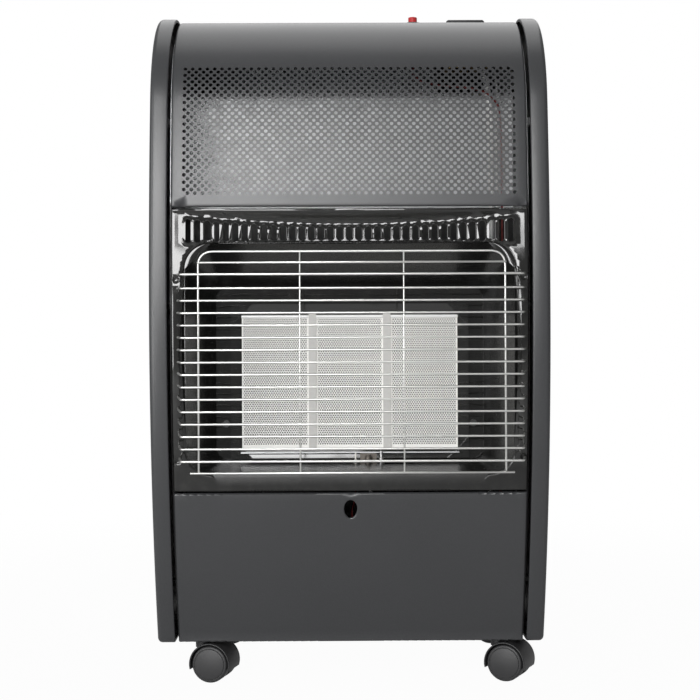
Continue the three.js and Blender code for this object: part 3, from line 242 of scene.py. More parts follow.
def galvanised(name, metallic, lift=1.0):
    """Cells of a crystal pattern set both the grey and the roughness; `lift` makes the grey lighter.

    Below a set height, the front of the sheet is painted near-black: painted shade for the dark space beside
    the burners."""
    paint = Paint(name)
    cell = paint.node("TexVoronoi", sockets={"Vector": paint.at()[3], "Scale": 1 / 0.009}, out="Color")
    crystal = paint.node("SeparateXYZ", sockets={0: cell})
    haze = paint.noise(0.03, 4.0, 0.6)
    dark, light = (tuple(lift * part for part in grey) for grey in ((0.50, 0.51, 0.52), (0.72, 0.73, 0.74)))
    zinc = paint.mix(crystal * 0.6 + haze * 0.4, dark, light)
    above = paint.at()[2].step(PAINTED_SHADE_TOP, PAINTED_SHADE_TOP + 0.005)
    behind = paint.at()[1].step(SHIELD_MIDDLE - 0.0003, SHIELD_MIDDLE + 0.0001)
    # Painted shade: near-black on the front of the sheet low down, where the space beside the burners is
    # dark.
    color = paint.mix(1 - (1 - above) * (1 - behind), (0.02, 0.02, 0.02), zinc)
    paint.bump(paint.noise(0.0006, 2.0), 0.00005, 0.3)
    return paint.surface(Base_Color=color, Metallic=metallic, Roughness=crystal * 0.16 + haze * 0.1 + 0.28)


def metal(name, dark, light, rough, size, metallic=1.0):
    """Colour and roughness follow the same fine marks and a stain nine times as wide."""
    paint = Paint(name)
    marks, stain = paint.noise(size, 4.0, 0.6), paint.noise(size * 9, 2.0)
    color = paint.mix(marks * 0.5 + stain * 0.5, dark, light)
    paint.bump(marks, 0.00004, 0.3)
    return paint.surface(Base_Color=color, Metallic=metallic, Roughness=marks * 0.14 + stain * 0.06 + rough)


# %% [markdown]
# ## Ceramic
# Gas burns on the face of a plaque that is pierced by fine holes. They stand in staggered rows inside a
# plain margin. There are thousands of them and each is narrower than a match, so they are not cut: the
# shade inside them is painted as dark spots, worked out from the place on the plaque.

# %% Ceramic
PLAQUE_PITCH, PLAQUE_HALF, PLAQUE_LOW, PLAQUE_TALL = 0.0819, 0.038, 0.2545, 0.149
HOLE_PITCH, HOLE_ROW, HOLE_RADIUS = 0.0026, 0.00207, 0.00082


def ceramic():
    """A hole is where the distance to the middle of the nearest cell of a staggered grid is small."""
    paint = Paint("ceramic")
    x, y, z, _ = paint.at()
    across = abs((x / PLAQUE_PITCH + 0.5) % 1.0 - 0.5) * PLAQUE_PITCH
    row = (z - PLAQUE_LOW) / HOLE_ROW
    shift = (row.floor() % 2.0) * 0.5
    du = ((x / HOLE_PITCH + shift) % 1.0 - 0.5) * HOLE_PITCH
    dv = (row % 1.0 - 0.5) * HOLE_ROW
    distance = (du * du + dv * dv).root()
    hole = 1 - distance.step(HOLE_RADIUS * 0.75, HOLE_RADIUS * 1.3)
    margin = 1 - across.step(PLAQUE_HALF - 0.0035, PLAQUE_HALF - 0.0025)
    height = z - PLAQUE_LOW
    inside = height.step(0.0035, 0.0045) * (1 - height.step(PLAQUE_TALL - 0.0045, PLAQUE_TALL - 0.0035))
    pierced = hole * margin * inside
    fibre, soot = paint.noise(0.0015, 3.0, 0.7), paint.noise(0.03, 3.0, 0.6)
    clay = paint.mix(soot * 0.6 + fibre * 0.4, (0.88, 0.87, 0.83), (0.95, 0.94, 0.92))
    paint.bump(fibre * 0.3 - pierced, 0.0005, 0.6)
    # Painted shade: the holes are only a dent in the bump, so their dark mouths are painted on.
    color = paint.mix(pierced, clay, (0.14, 0.14, 0.135))
    return paint.surface(Base_Color=color, Roughness=0.88 + fibre * 0.1)


# %% [markdown]
# ## Mouldings
# The knob, the igniter, the casters and the lead are moulded. Their grain is a fine bump, and rubbing
# leaves some places a little smoother than others.

# %% Mouldings
def moulded(name, dark, light, rough):
    """Colour, roughness and height all follow a fine grain and a slow, cloudy wear."""
    paint = Paint(name)
    grain, wear = paint.noise(0.0007, 2.0), paint.noise(0.02, 3.0, 0.6)
    paint.bump(grain, 0.00006, 0.4)
    color = paint.mix(grain * 0.4 + wear * 0.6, dark, light)
    return paint.surface(Base_Color=color, Roughness=wear * 0.12 + grain * 0.06 + rough)


FINISHES = {
    "powder_coat": powder_coat(),
    "enamel": enamel("enamel", 0.08, 0.4, 0.236),
    "galvanised": galvanised("galvanised", 0.35),
    "chrome_wire": metal("chrome_wire", (0.66, 0.66, 0.64), (0.78, 0.78, 0.76), 0.24, 0.012),
    "ceramic": ceramic(),
    "strip_steel": metal("strip_steel", (0.46, 0.455, 0.44), (0.66, 0.65, 0.63), 0.6, 0.003, metallic=0.1),
    "plain_steel": metal("plain_steel", (0.42, 0.42, 0.42), (0.60, 0.60, 0.60), 0.26, 0.003),
    "porcelain": moulded("porcelain", (0.78, 0.76, 0.70), (0.86, 0.84, 0.80), 0.18),
    "brass": metal("brass", (0.55, 0.38, 0.14), (0.72, 0.52, 0.22), 0.24, 0.003),
    "aluminium": metal("aluminium", (0.60, 0.61, 0.62), (0.78, 0.79, 0.80), 0.26, 0.003),
    "red_silicone": moulded("red_silicone", (0.14, 0.012, 0.012), (0.22, 0.02, 0.018), 0.45),
    "black_plastic": moulded("black_plastic", (0.017, 0.017, 0.018), (0.030, 0.030, 0.031), 0.36),
    "red_plastic": moulded("red_plastic", (0.40, 0.018, 0.020), (0.52, 0.03, 0.03), 0.22),
}
FINISH_OF = {part["node"]: part["material_slot"] for part in frame["record"]["subparts"]}
FUNNEL_ENAMEL = enamel("funnel_enamel", 0.22, 0.0, smooth_behind=-0.110)
# Painted light: the leaning top of the heat shield gets a zinc a quarter lighter and without metal shine,
# standing in for light that hardly reaches it.
PAINTED_LIGHT_ZINC = galvanised("painted_light_zinc", 0.0, 1.25)
# Painted highlight: the pipes and the plaques' lip are painted near-white with little metal shine, for the
# bright look that their reflections give.
PAINTED_BRIGHT_ZINC = metal("painted_bright_zinc", (0.80, 0.80, 0.79), (0.93, 0.93, 0.92), 0.3, 0.003, metallic=0.15)
SCREW_BLACK = metal("screw_black", (0.03, 0.03, 0.03), (0.06, 0.06, 0.06), 0.35, 0.002, metallic=0.6)
BURNER_STEEL = metal("burner_steel", (0.10, 0.09, 0.08), (0.22, 0.20, 0.18), 0.4, 0.003)

# %% [markdown]
# ## Dress the solids
# The record says which finish each solid has. A few of them differ from the rest of their kind: the
# reflector's screws are blackened, and the pilot has been in its own flame.

# %% Dress the solids
for name, node in frame["nodes"].items():
    node.data.materials.clear()
    node.data.materials.append(FINISHES[FINISH_OF[name]])
OWN_FINISH = {"reflector_screw_left": SCREW_BLACK, "reflector_screw_right": SCREW_BLACK,
              "pilot_burner": BURNER_STEEL, "pilot_bracket": BURNER_STEEL}
for name, finish in OWN_FINISH.items():
    frame["nodes"][name].data.materials[0] = finish
print("finishes:", ", ".join(FINISHES))

# %% [markdown]
# ## Sheets with holes
# Nearly every skin of the heater is thin sheet with holes or slots. Each is drawn flat first: an outline,
# its holes and a net of inner points are joined by Delaunay triangles, and the holes are left out. A
# formula then carries the flat points to the front of the sheet and, one thickness deeper, to its back.

# %% Sheet helpers
MM = 0.001
SHEET = 1.0
QUARTER = math.pi / 2


def mesh_object(name, points, faces, finish, body, *nodes, sharp=35):
    """Points in millimetres and faces become a smooth object that rides a body and replaces nodes."""
    mesh = bpy.data.meshes.new(name)
    mesh.from_pydata((np.asarray(points) * MM).tolist(), [], [list(map(int, face)) for face in faces])
    mesh.shade_smooth()
    mesh.set_sharp_from_angle(angle=math.radians(sharp))
    mesh.materials.append(FINISHES[finish])
    piece = bpy.data.objects.new(name, mesh)
    bpy.context.scene.collection.objects.link(piece)
    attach(piece, body)
    if nodes:
        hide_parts(*nodes)
    print(name, len(mesh.vertices), "points")
    return piece


def flat_net(outline, holes, inner):
    """Triangles between an outline, convex holes and inner points.

    A triangle is in a hole if all its corners are on that hole's edge."""
    rings = [np.asarray(ring, float) for ring in (outline, *holes)]
    owner = [np.full(len(ring), i - 1) for i, ring in enumerate(rings)]
    owner = np.concatenate([*owner, np.full(len(inner), -1)])
    points = np.concatenate([*rings, np.asarray(inner, float).reshape(-1, 2)])
    edges, start = [], 0
    for ring in rings:
        index = np.arange(len(ring)) + start
        edges.append(np.stack([index, np.roll(index, -1)], 1))
        start += len(ring)
    edges = np.concatenate(edges).tolist()
    found, _, faces, origin, _, _ = delaunay_2d_cdt(points.tolist(), edges, [], 0, 1e-6)
    first = np.array([group[0] if group else 0 for group in origin])
    corner = owner[first][np.array(faces)]
    hollow = (corner[:, 0] >= 0) & (corner[:, 0] == corner[:, 1]) & (corner[:, 0] == corner[:, 2])
    return np.array([tuple(p) for p in found]), np.array(faces)[~hollow]


def crossings(xs, zs):
    """The points where upright lines and level lines cross."""
    return np.stack(np.meshgrid(xs, zs), -1).reshape(-1, 2)


def frame_line(x0, x1, z0, z1, dx, dz):
    """The outline of a rectangle, with points every dx and dz."""
    xs, zs = np.linspace(x0, x1, round((x1 - x0) / dx) + 1), np.linspace(z0, z1, round((z1 - z0) / dz) + 1)
    low, right = np.stack([xs, xs * 0 + z0], 1), np.stack([zs * 0 + x1, zs], 1)
    high, left = np.stack([xs[::-1], xs * 0 + z1], 1), np.stack([zs * 0 + x0, zs[::-1]], 1)
    return np.concatenate([low[:-1], right[:-1], high[:-1], left[:-1]])


def two_skins(net, faces, place, thickness=SHEET):
    """The net carried to depth 0 and to the thickness, with a wall along every edge that has one triangle."""
    count = len(net)
    points = np.concatenate([place(net[:, 0], net[:, 1], 0.0), place(net[:, 0], net[:, 1], thickness)])
    arrows = np.concatenate([faces[:, [0, 1]], faces[:, [1, 2]], faces[:, [2, 0]]])
    code, back = arrows[:, 0] * count + arrows[:, 1], arrows[:, 1] * count + arrows[:, 0]
    rim = arrows[~np.isin(code, back)]
    walls = np.stack([rim[:, 1], rim[:, 0], rim[:, 0] + count, rim[:, 1] + count], 1)
    return points, [*faces.tolist(), *(faces[:, ::-1] + count).tolist(), *walls.tolist()]


def rounded(x0, x1, z0, z1, radius, steps):
    """The outline of a rectangle with round corners, anticlockwise from the right."""
    turn = np.linspace(0, QUARTER, steps + 1)
    left, right, low, high = x0 + radius, x1 - radius, z0 + radius, z1 - radius
    parts = []
    for quarter, (x, z) in enumerate(((right, high), (left, high), (left, low), (right, low))):
        angle = turn + quarter * QUARTER
        parts.append(np.stack([x + radius * np.cos(angle), z + radius * np.sin(angle)], 1))
    return np.concatenate(parts)


def ring_of(x, z, radius, count):
    """A circle of points."""
    angle = np.arange(count) * 2 * math.pi / count
    return np.stack([x + radius * np.cos(angle), z + radius * np.sin(angle)], 1)


print("sheet helpers ready")

# %% [markdown]
# ## The curve of the cabinet
# Seen from the side the cabinet is a chain of arcs that meet smoothly: a foot, two long arcs of the front,
# a shoulder, and a small bend into the back. Walking the chain gives, at each step, a place and the
# direction that the sheet faces, so every front panel can be laid on it.

# %% The chain of arcs
FRONT, SIDE_DEPTH, HEIGHT, FLOOR_GAP, PROUD = -196.05, 360.0, 736.0, 45.0, 4.0
BULGE, LOWER_R, UPPER_R, SHOULDER_R, REAR_R, FOOT_R = 409.0, 1000.0, 1545.0, 125.0, 25.0, 8.0
REAR = FRONT + SIDE_DEPTH
SHOULDER_Z, FOOT_Z = HEIGHT - SHOULDER_R, FLOOR_GAP + FOOT_R
shoulder_angle = math.asin((SHOULDER_Z - BULGE) / (UPPER_R - SHOULDER_R))
shoulder_y = FRONT + UPPER_R - (UPPER_R - SHOULDER_R) * math.cos(shoulder_angle)
foot_angle = math.asin((BULGE - FOOT_Z) / (LOWER_R - FOOT_R))
foot_y = FRONT + LOWER_R - (LOWER_R - FOOT_R) * math.cos(foot_angle)


def chain(arcs, inset):
    """Each arc is a centre, a radius, two angles and a number of steps.

    The inset moves the arc in along its radius."""
    parts = []
    for y, z, radius, start, end, steps in arcs:
        angle = np.linspace(start, end, steps + 1)
        reach = radius - inset
        parts.append(np.stack([y - reach * np.cos(angle), z + reach * np.sin(angle), angle], 1))
    return np.concatenate(parts)


FRONT_ARCS = [(FRONT + LOWER_R, BULGE, LOWER_R, -foot_angle, 0, 60),
              (FRONT + UPPER_R, BULGE, UPPER_R, 0, shoulder_angle, 40),
              (shoulder_y, SHOULDER_Z, SHOULDER_R, shoulder_angle, QUARTER, 36)]
FOOT_ARC = (foot_y, FOOT_Z, FOOT_R, -QUARTER, -foot_angle, 8)
REAR_ARC = (REAR - REAR_R, HEIGHT - REAR_R, REAR_R, QUARTER, 2 * QUARTER, 14)
REAR_FOOT_ARC = (REAR - FOOT_R, FOOT_Z, FOOT_R, 2 * QUARTER, 3 * QUARTER, 8)


def walk(inset, back_to):
    """The chain from the foot to the back, with the length walked so far: length, y, z, angle."""
    line = chain([*FRONT_ARCS, REAR_ARC], inset)
    line = np.concatenate([line, [[REAR - inset, back_to, 2 * QUARTER]]])
    step = np.hypot(np.diff(line[:, 0]), np.diff(line[:, 1]))
    keep = np.concatenate([[True], step > 1e-6])
    return np.column_stack([np.concatenate([[0], np.cumsum(step)])[keep], line[keep]])


TOP_LOW_Z, BACK_DROP_Z = 513.0, 657.0
WALK = walk(PROUD, BACK_DROP_Z)
by_height = WALK[WALK[:, 3] < QUARTER * 0.999]
TOP_START = np.interp(TOP_LOW_Z, by_height[:, 2], by_height[:, 0])
TOP_LENGTH = WALK[-1, 0] - TOP_START
PANEL_X, BEND, FLANGE = 187.5, 2.5, 12.0
U_HALF = PANEL_X - BEND + QUARTER * BEND + FLANGE - BEND


def folded(u, depth):
    """Across a panel: flat, then round the bend, then along the flange.

    Gives x and how deep the sheet is there."""
    flat = PANEL_X - BEND
    turn = np.clip((np.abs(u) - flat) / BEND, 0, QUARTER)
    beyond = np.maximum(np.abs(u) - flat - QUARTER * BEND, 0)
    x = np.minimum(np.abs(u), flat) + (BEND - depth) * np.sin(turn)
    return np.sign(u) * x, BEND - (BEND - depth) * np.cos(turn) + beyond


def bends(*extra):
    """Where upright lines of net points stand at both sides: round each bend and on its flange."""
    round_bend = PANEL_X - BEND + BEND * QUARTER * np.linspace(0, 1, 5)
    return [side * u for side in (-1, 1) for u in (U_HALF - 5, *extra, *round_bend)]


def rolled(distance, radius):
    """How far a rolled edge drops at a distance from the edge: the fall of a quarter circle."""
    inside = np.clip(radius - distance, 0, radius)
    return radius - np.sqrt(radius**2 - inside**2)


def on_front(x, z, depth):
    """A place on the front by its height, moved in along the direction that the sheet faces."""
    y, angle = (np.interp(z, by_height[:, 2], by_height[:, i]) for i in (1, 3))
    return np.stack([x, y + depth * np.cos(angle), z - depth * np.sin(angle)], -1)


print("top panel starts", round(TOP_START), "mm along the walk and is", round(TOP_LENGTH), "mm long")

# %% [markdown]
# ## The top panel
# One sheet makes the perforated front, the shoulder, the top and a drop at the back. Warm air leaves
# through about 1,600 punched holes, 4 mm wide, in staggered rows. They are real holes here, since the
# shield and the pipes behind them can be seen. The control well and the igniter sit in holes in the top.

# %% Top panel
HOLE_STEP, HOLE_R, HOLE_ROWS, FIELD_START, FIELD_HALF = 7.8, 2.05, 36, 10.5, 176.5
KNOB, IGNITER = np.array([136.0, -20.609, 0.0]), np.array([74.0, -45.609, 0.0])
WELL_X, WELL_Y, NECK_R = 43.3, 37.3, 8.3


def on_top(u, v, depth):
    """v is walked from the lower edge, over the shoulder, to the back; u goes across both flanges."""
    x, deep = folded(u, depth)
    deep = deep + rolled(v, 1.6) + rolled(TOP_LENGTH - v, 1.6)
    length = TOP_START + v
    y, z, angle = (np.interp(length, WALK[:, 0], WALK[:, i]) for i in (1, 2, 3))
    return np.stack([x, y + deep * np.cos(angle), z - deep * np.sin(angle)], -1)


def punched():
    """Rows of holes are half a step apart, and every second row is shifted half a step sideways."""
    row = np.arange(HOLE_ROWS)
    columns = np.arange(-22.5, 23) * HOLE_STEP
    x = (columns[None, :] + (row % 2)[:, None] * HOLE_STEP / 2).ravel() - HOLE_STEP / 4
    v = np.repeat(FIELD_START + row * HOLE_STEP / 2 + HOLE_STEP / 2, len(columns))
    keep = np.abs(x) < FIELD_HALF
    return [ring_of(*centre, HOLE_R, 10) for centre in zip(x[keep], v[keep])]


def top_panel():
    """The walk's length at the knob and the igniter places their holes; net points keep clear of both."""
    over = WALK[np.argmax(WALK[:, 3] > QUARTER - 1e-6)]
    knob_v, igniter_v = (over[0] + (y - over[1]) - TOP_START for y in (KNOB[1], IGNITER[1]))
    well = rounded(KNOB[0] - WELL_X, KNOB[0] + WELL_X, knob_v - WELL_Y, knob_v + WELL_Y, 3.0, 3)
    neck = ring_of(IGNITER[0], igniter_v, NECK_R, 20)
    field_end = FIELD_START + HOLE_ROWS * HOLE_STEP / 2 + HOLE_STEP / 2
    low = np.array([0.3, 0.8, 1.6, 4, 7])
    beside = np.arange(12, field_end, 7.0)
    high = np.append(np.arange(field_end + 3, TOP_LENGTH - 3, 7.0), TOP_LENGTH - np.array([2.0, 1.0]))
    across = np.linspace(-U_HALF, U_HALF, round(2 * U_HALF / 10) + 1)[3:-3]
    inner = np.concatenate([crossings(bends(U_HALF - 9.4), [*low, *beside, *high]),
                            crossings(across, [*low, *high])])
    u, v = inner.T
    clear = (np.abs(u - KNOB[0]) > WELL_X + 2.7) | (np.abs(v - knob_v) > WELL_Y + 2.7)
    clear &= np.hypot(u - IGNITER[0], v - igniter_v) > NECK_R + 2.7
    edge = frame_line(-U_HALF, U_HALF, 0, TOP_LENGTH, 10, 7)
    points, skins = two_skins(*flat_net(edge, [well, neck, *punched()], inner[clear]), on_top)
    return mesh_object("perforated_top", points, skins, "powder_coat", "cabinet", "top_panel")


top_panel()

# %% [markdown]
# ## The side panels
# Each side is a shallow pressed tray: a flat wall, a rounded rim and a band turned in towards the front
# panels. A cross-section of the rim is carried once round the cabinet's outline, as whole arrays.

# %% Side panels
WALL_X, BAND_X, EDGE_R, LIP_R, BAND_END = 210.0, 191.0, 5.0, 1.4, 3.4


def between_rings(rings, sides):
    """Four-sided faces that join each ring of points to the next one."""
    level, step = np.meshgrid(np.arange(rings - 1) * sides, np.arange(sides), indexing="ij")
    a, b = level + step, level + (step + 1) % sides
    return np.stack([a, b, b + sides, a + sides], -1).reshape(-1, 4)


def closing(rings, sides):
    """The first ring and the last one as faces, both read the same way round."""
    first = np.arange(sides)
    return first.tolist(), (first + (rings - 1) * sides).tolist()


def quarter_turn(x, depth, radius, steps, wide=1):
    """A quarter circle of x and depth about a centre; `wide` -1 makes it bend the other way."""
    turn = np.linspace(0, QUARTER, steps)
    sides = (np.cos(turn), np.sin(turn)) if wide > 0 else (-np.sin(turn), np.cos(turn))
    return [*zip(x + radius * sides[0], depth - radius * sides[1])]


def side_panel(side, name, node):
    """Rim: a quarter circle from the wall to the band, then a small bend at the band's inner edge.

    The inside follows it, one sheet deeper."""
    arcs = [FOOT_ARC, *FRONT_ARCS, REAR_ARC, REAR_FOOT_ARC]
    rim_x = WALL_X - EDGE_R
    section = [*quarter_turn(rim_x, EDGE_R, EDGE_R, 7), *quarter_turn(BAND_X + LIP_R, LIP_R, LIP_R, 4, -1),
               (BAND_X, BAND_END), (BAND_X + SHEET, BAND_END), (BAND_X + SHEET + 0.5, SHEET),
               *quarter_turn(rim_x, EDGE_R, EDGE_R - SHEET, 7)[::-1]]
    loops = []
    for x, inset in section:
        line = chain(arcs, inset)
        line = line[np.concatenate([[True], np.hypot(*np.diff(line[:, :2], axis=0).T) > 1e-6])]
        loops.append(np.column_stack([np.full(len(line), side * x), line[:, 0], line[:, 1]]))
    count = min(len(loop) for loop in loops)
    points = np.concatenate([loop[:count] for loop in loops])
    faces = between_rings(len(loops), count)
    first, last = closing(len(loops), count)
    faces, first, last = (faces, first[::-1], last) if side > 0 else (faces[:, ::-1], first, last[::-1])
    return mesh_object(name, points, [*faces.tolist(), first, last], "powder_coat", "cabinet", node, sharp=40)


side_panel(-1, "left_side_shell", "left_side_panel")
side_panel(1, "right_side_shell", "right_side_panel")

# %% [markdown]
# ## The lower front panel
# A plain curved sheet with rolled edges and one egg-shaped hole, through which the pilot can be seen.

# %% Lower front panel
LOWER_TOP, EGG_X, EGG_UP, EGG_Z = 211.0, 6.9, 9.8, 193.5
egg_turn = np.arange(32) * math.pi / 16
EGG = np.stack([EGG_X * (1 + 0.12 * np.sin(egg_turn)) * np.cos(egg_turn), EGG_UP * np.sin(egg_turn)], 1)


def lower_panel():
    """The place is the front curve, one rolled edge above and below, and the flanges at the sides."""
    def off_egg(x, z):
        """How far a place is from the hole's middle, where 1 is about at its edge."""
        return np.hypot(x / (EGG_X + 0.5), (z - EGG_Z) / (EGG_UP + 0.6))

    def place(u, z, depth):
        x, deep = folded(u, depth)
        lip = rolled(off_egg(x, z) * 8 - 7.4, 1.2)
        return on_front(x, z, deep + rolled(LOWER_TOP - z, 2.0) + rolled(z - FLOOR_GAP, 2.0) + lip)

    near = np.array([0.5, 1.2, 2.0])
    net = crossings([*bends(), *np.linspace(-180, 180, 41)],
                    [*FLOOR_GAP + near, *np.arange(52, 206, 6.0), *LOWER_TOP - near[::-1]])
    hole, *rings = ([0, EGG_Z] + EGG * grow for grow in (1, 1.06, 1.14, 1.3))
    inner = np.concatenate([net[off_egg(*net.T) > 1.7], *rings])
    edge = frame_line(-U_HALF, U_HALF, FLOOR_GAP, LOWER_TOP, 9, 6)
    points, skins = two_skins(*flat_net(edge, [hole], inner), place)
    return mesh_object("lower_front_sheet", points, skins, "powder_coat", "cabinet", "lower_front_panel")


lower_panel()

# %% [markdown]
# ## The burner surround
# One enamelled sheet round the burners. A band above the window is pressed in, most at its middle, under
# a sloping ledge. It is pierced by 35 upright slots, each with a raised rim that catches the light. The
# window's edge is turned in, and four dimples take the guard's fixings.

# %% Burner surround
SURROUND_LOW, SURROUND_TOP = 213.0, 511.0
WINDOW_X, WINDOW_LOW, WINDOW_HIGH, WINDOW_R = 173.0, 231.0, 475.0, 27.0
SLOT_PITCH, SLOT_HALF, SLOT_R, LAST_SLOT = 9.95, 2.8, 2.4, 17
SLOT_LOW, SLOT_HIGH, SLOT_SPREAD = 479.5, 492.0, 5.0
DIMPLES = np.array([[-182.0, 436.5], [182.5, 438.0], [-182.0, 246.0], [182.5, 249.0]])


def smooth(value, low, high):
    """0 below low, 1 above high, with a smooth rise between."""
    part = np.clip((value - low) / (high - low), 0, 1)
    return part * part * (3 - 2 * part)


def slot_ends(x):
    """The bottom and top of the slot nearest to x: the end slots are taller."""
    spread = SLOT_SPREAD * np.clip(np.abs(np.round(x / SLOT_PITCH)) / LAST_SLOT, 0, 1) ** 2
    return SLOT_LOW - spread * 0.8, SLOT_HIGH + spread * 1.6


def off_slot(x, z):
    """Distance to the nearest slot's edge, from its rounded rectangle."""
    low, high = slot_ends(x)
    index = np.clip(np.round(x / SLOT_PITCH), -LAST_SLOT, LAST_SLOT)
    side = np.abs(x - index * SLOT_PITCH)
    over = np.abs(z - (low + high) / 2) - (high - low) / 2 + SLOT_R
    return np.hypot(np.maximum(side - SLOT_HALF + SLOT_R, 0), np.maximum(over, 0)) - SLOT_R


def off_window(x, z):
    """Distance to the window's edge, from its rounded rectangle."""
    side = np.abs(x) - WINDOW_X + WINDOW_R
    rise = np.abs(z - (WINDOW_LOW + WINDOW_HIGH) / 2) - (WINDOW_HIGH - WINDOW_LOW) / 2 + WINDOW_R
    return np.hypot(np.maximum(side, 0), np.maximum(rise, 0)) - WINDOW_R


def pressing(x, z):
    """How deep the band is: most at the middle, a steep ledge above and a slow fade below."""
    across = np.maximum(0, 1 - (x / PANEL_X) ** 2)
    below = smooth(SURROUND_TOP - z, 2, 2 + 12 * np.maximum(across, 0.15))
    return 10 * across * below * smooth(z, WINDOW_HIGH - 45, WINDOW_HIGH)


def burner_surround():
    """Depth is the pressing, plus the window's turned edge, less the slots' rims, plus the dimples."""
    def place(u, z, depth):
        x, deep = folded(u, depth)
        rim = 1.3 * np.exp(-((off_slot(x, z) - 0.9) / 0.9) ** 2)
        dent = sum(1.8 * np.exp(-(np.hypot(x - cx, z - cz) / 3.2) ** 4) for cx, cz in DIMPLES)
        deep = deep + pressing(x, z) + rolled(off_window(x, z), 3.0) - rim * smooth(z, 465, 474) + dent
        return on_front(x, z, deep + rolled(SURROUND_TOP - z, 0.7) + rolled(z - SURROUND_LOW, 1.5))

    def slot(x, grow=0.0):
        low, high = slot_ends(x)
        return rounded(x - SLOT_HALF - grow, x + SLOT_HALF + grow, low - grow, high + grow, SLOT_R + grow, 4)

    def window(grow=0.0):
        edges = (-WINDOW_X - grow, WINDOW_X + grow, WINDOW_LOW - grow, WINDOW_HIGH + grow)
        return rounded(*edges, WINDOW_R + grow, 14)

    slots = np.arange(-LAST_SLOT, LAST_SLOT + 1) * SLOT_PITCH
    holes = [*map(slot, slots), window()]
    rings = [slot(x, grow) for x in slots for grow in (0.5, 1.0, 1.6)]
    rings += [window(grow) for grow in (0.5, 1.2, 2.0, 3.0)]
    rings += [ring_of(*dimple, radius, 14) for dimple in DIMPLES for radius in (1.2, 2.2, 3.0, 3.8, 5.0)]
    heights = [213.5, 214.2, 215, *np.arange(219, 430, 5.0), *np.arange(430, 508, 2.5), 508.5, 509.5, 510.4]
    net = crossings([*bends(), *np.linspace(-183, 183, 105)], heights)
    x, z = net.T
    far = (off_window(x, z) > 4.2) & ((off_slot(x, z) > 2.1) | (np.abs(x) > 174.5))
    far &= np.min(np.hypot(x[:, None] - DIMPLES[:, 0], z[:, None] - DIMPLES[:, 1]), 1) > 6
    inner = np.concatenate([net[far], *rings])
    edge = frame_line(-U_HALF, U_HALF, SURROUND_LOW, SURROUND_TOP, 3.6, 5)
    points, skins = two_skins(*flat_net(edge, holes, inner), place)
    return mesh_object("enamel_surround", points, skins, "enamel", "cabinet", "burner_surround")


burner_surround()

# %% [markdown]
# ## The reflector
# A gloss funnel leads from the window to the burners. Seen from the front it is a height field: flat at
# the back wall, rising along sloped walls to the window, with a round inner corner all the way along.

# %% Reflector
PLAQUE_Y, HOUSING_X, HOUSING_LOW, HOUSING_HIGH = -108.05, 124.9, 249.2, 408.8
BACK_Y, BACK_X, BACK_LOW, BACK_HIGH = PLAQUE_Y + 1.2, 147.0, 243.0, 432.0
FUNNEL_SHEET, CORNER = 0.8, 15


def gathered(parts):
    """Several bodies of points and faces as one."""
    points, faces, start = [], [], 0
    for some, made in parts:
        points.append(some)
        faces += [[i + start for i in face] for face in made]
        start += len(some)
    return np.concatenate(points), faces


def net_points(x0, x1, z0, z1, step):
    """A square net of points over a rectangle; every second row is shifted by a hair."""
    xs, zs = (np.linspace(low, high, round((high - low) / step) + 1) for low, high in ((x0, x1), (z0, z1)))
    x, z = np.meshgrid(xs, zs)
    x = x + (np.arange(len(x)) % 2)[:, None] * 1e-3
    return np.stack([x.ravel(), z.ravel()], 1)


def outlined(*edges_and_radius):
    """A rounded rectangle with points along its sides too: each straight side is cut in eight."""
    ring = rounded(*edges_and_radius, CORNER - 1)
    parts = []
    for i, (here, ahead) in enumerate(zip(ring, np.roll(ring, -1, 0))):
        parts.append(np.linspace(here, ahead, 9)[:-1] if i % CORNER == CORNER - 1 else [here])
    return np.concatenate(parts)


def funnel_walls():
    """Between the back wall's outline and the window's, a place moves forward with its share of the way.

    The rise is a little quicker at first, which makes the round inner corner. The pilot's slot is open."""
    front = outlined(-WINDOW_X + 0.4, WINDOW_X - 0.4, WINDOW_LOW + 0.4, WINDOW_HIGH - 0.4, WINDOW_R)
    back = outlined(-BACK_X, BACK_X, BACK_LOW, BACK_HIGH, 13.5)
    share = np.array([0.0, 0.01, 0.03, 0.06, 0.1, 0.16, 0.25, 0.36, 0.5, 0.65, 0.8, 0.92, 1.0])
    rings = back[None] + (front - back)[None] * share[:, None, None]
    lip = on_front(*front.T, pressing(*front.T) + 3.2)[:, 1]
    rise = share + 0.035 * (np.exp(-share / 0.03) - np.exp(-1 / 0.03)) * (share > 0)
    y = BACK_Y + (lip - BACK_Y)[None] * np.where(share > 0, rise, 0)[:, None]

    def carry(thickness):
        grown = rings + np.sign(rings - [0, 345]) * thickness
        return np.stack([grown[..., 0], y + thickness * 0.2, grown[..., 1]], -1).reshape(-1, 3)

    inner, outer = carry(0.0), carry(FUNNEL_SHEET)
    quads = between_rings(len(share), len(back))
    px, py, pz = inner[quads[:, 0]].T
    quads = quads[~((px > 0) & (px < 40) & (py > -127.5) & (py < -109) & (pz < 260))]
    edge = np.array(closing(len(share), len(back))[1])
    beside = np.roll(edge, -1)
    rim = np.stack([edge + len(inner), beside + len(inner), beside, edge], 1)
    skins = [*quads[:, ::-1].tolist(), *(quads + len(inner)).tolist(), *rim.tolist()]
    return np.concatenate([inner, outer]), skins


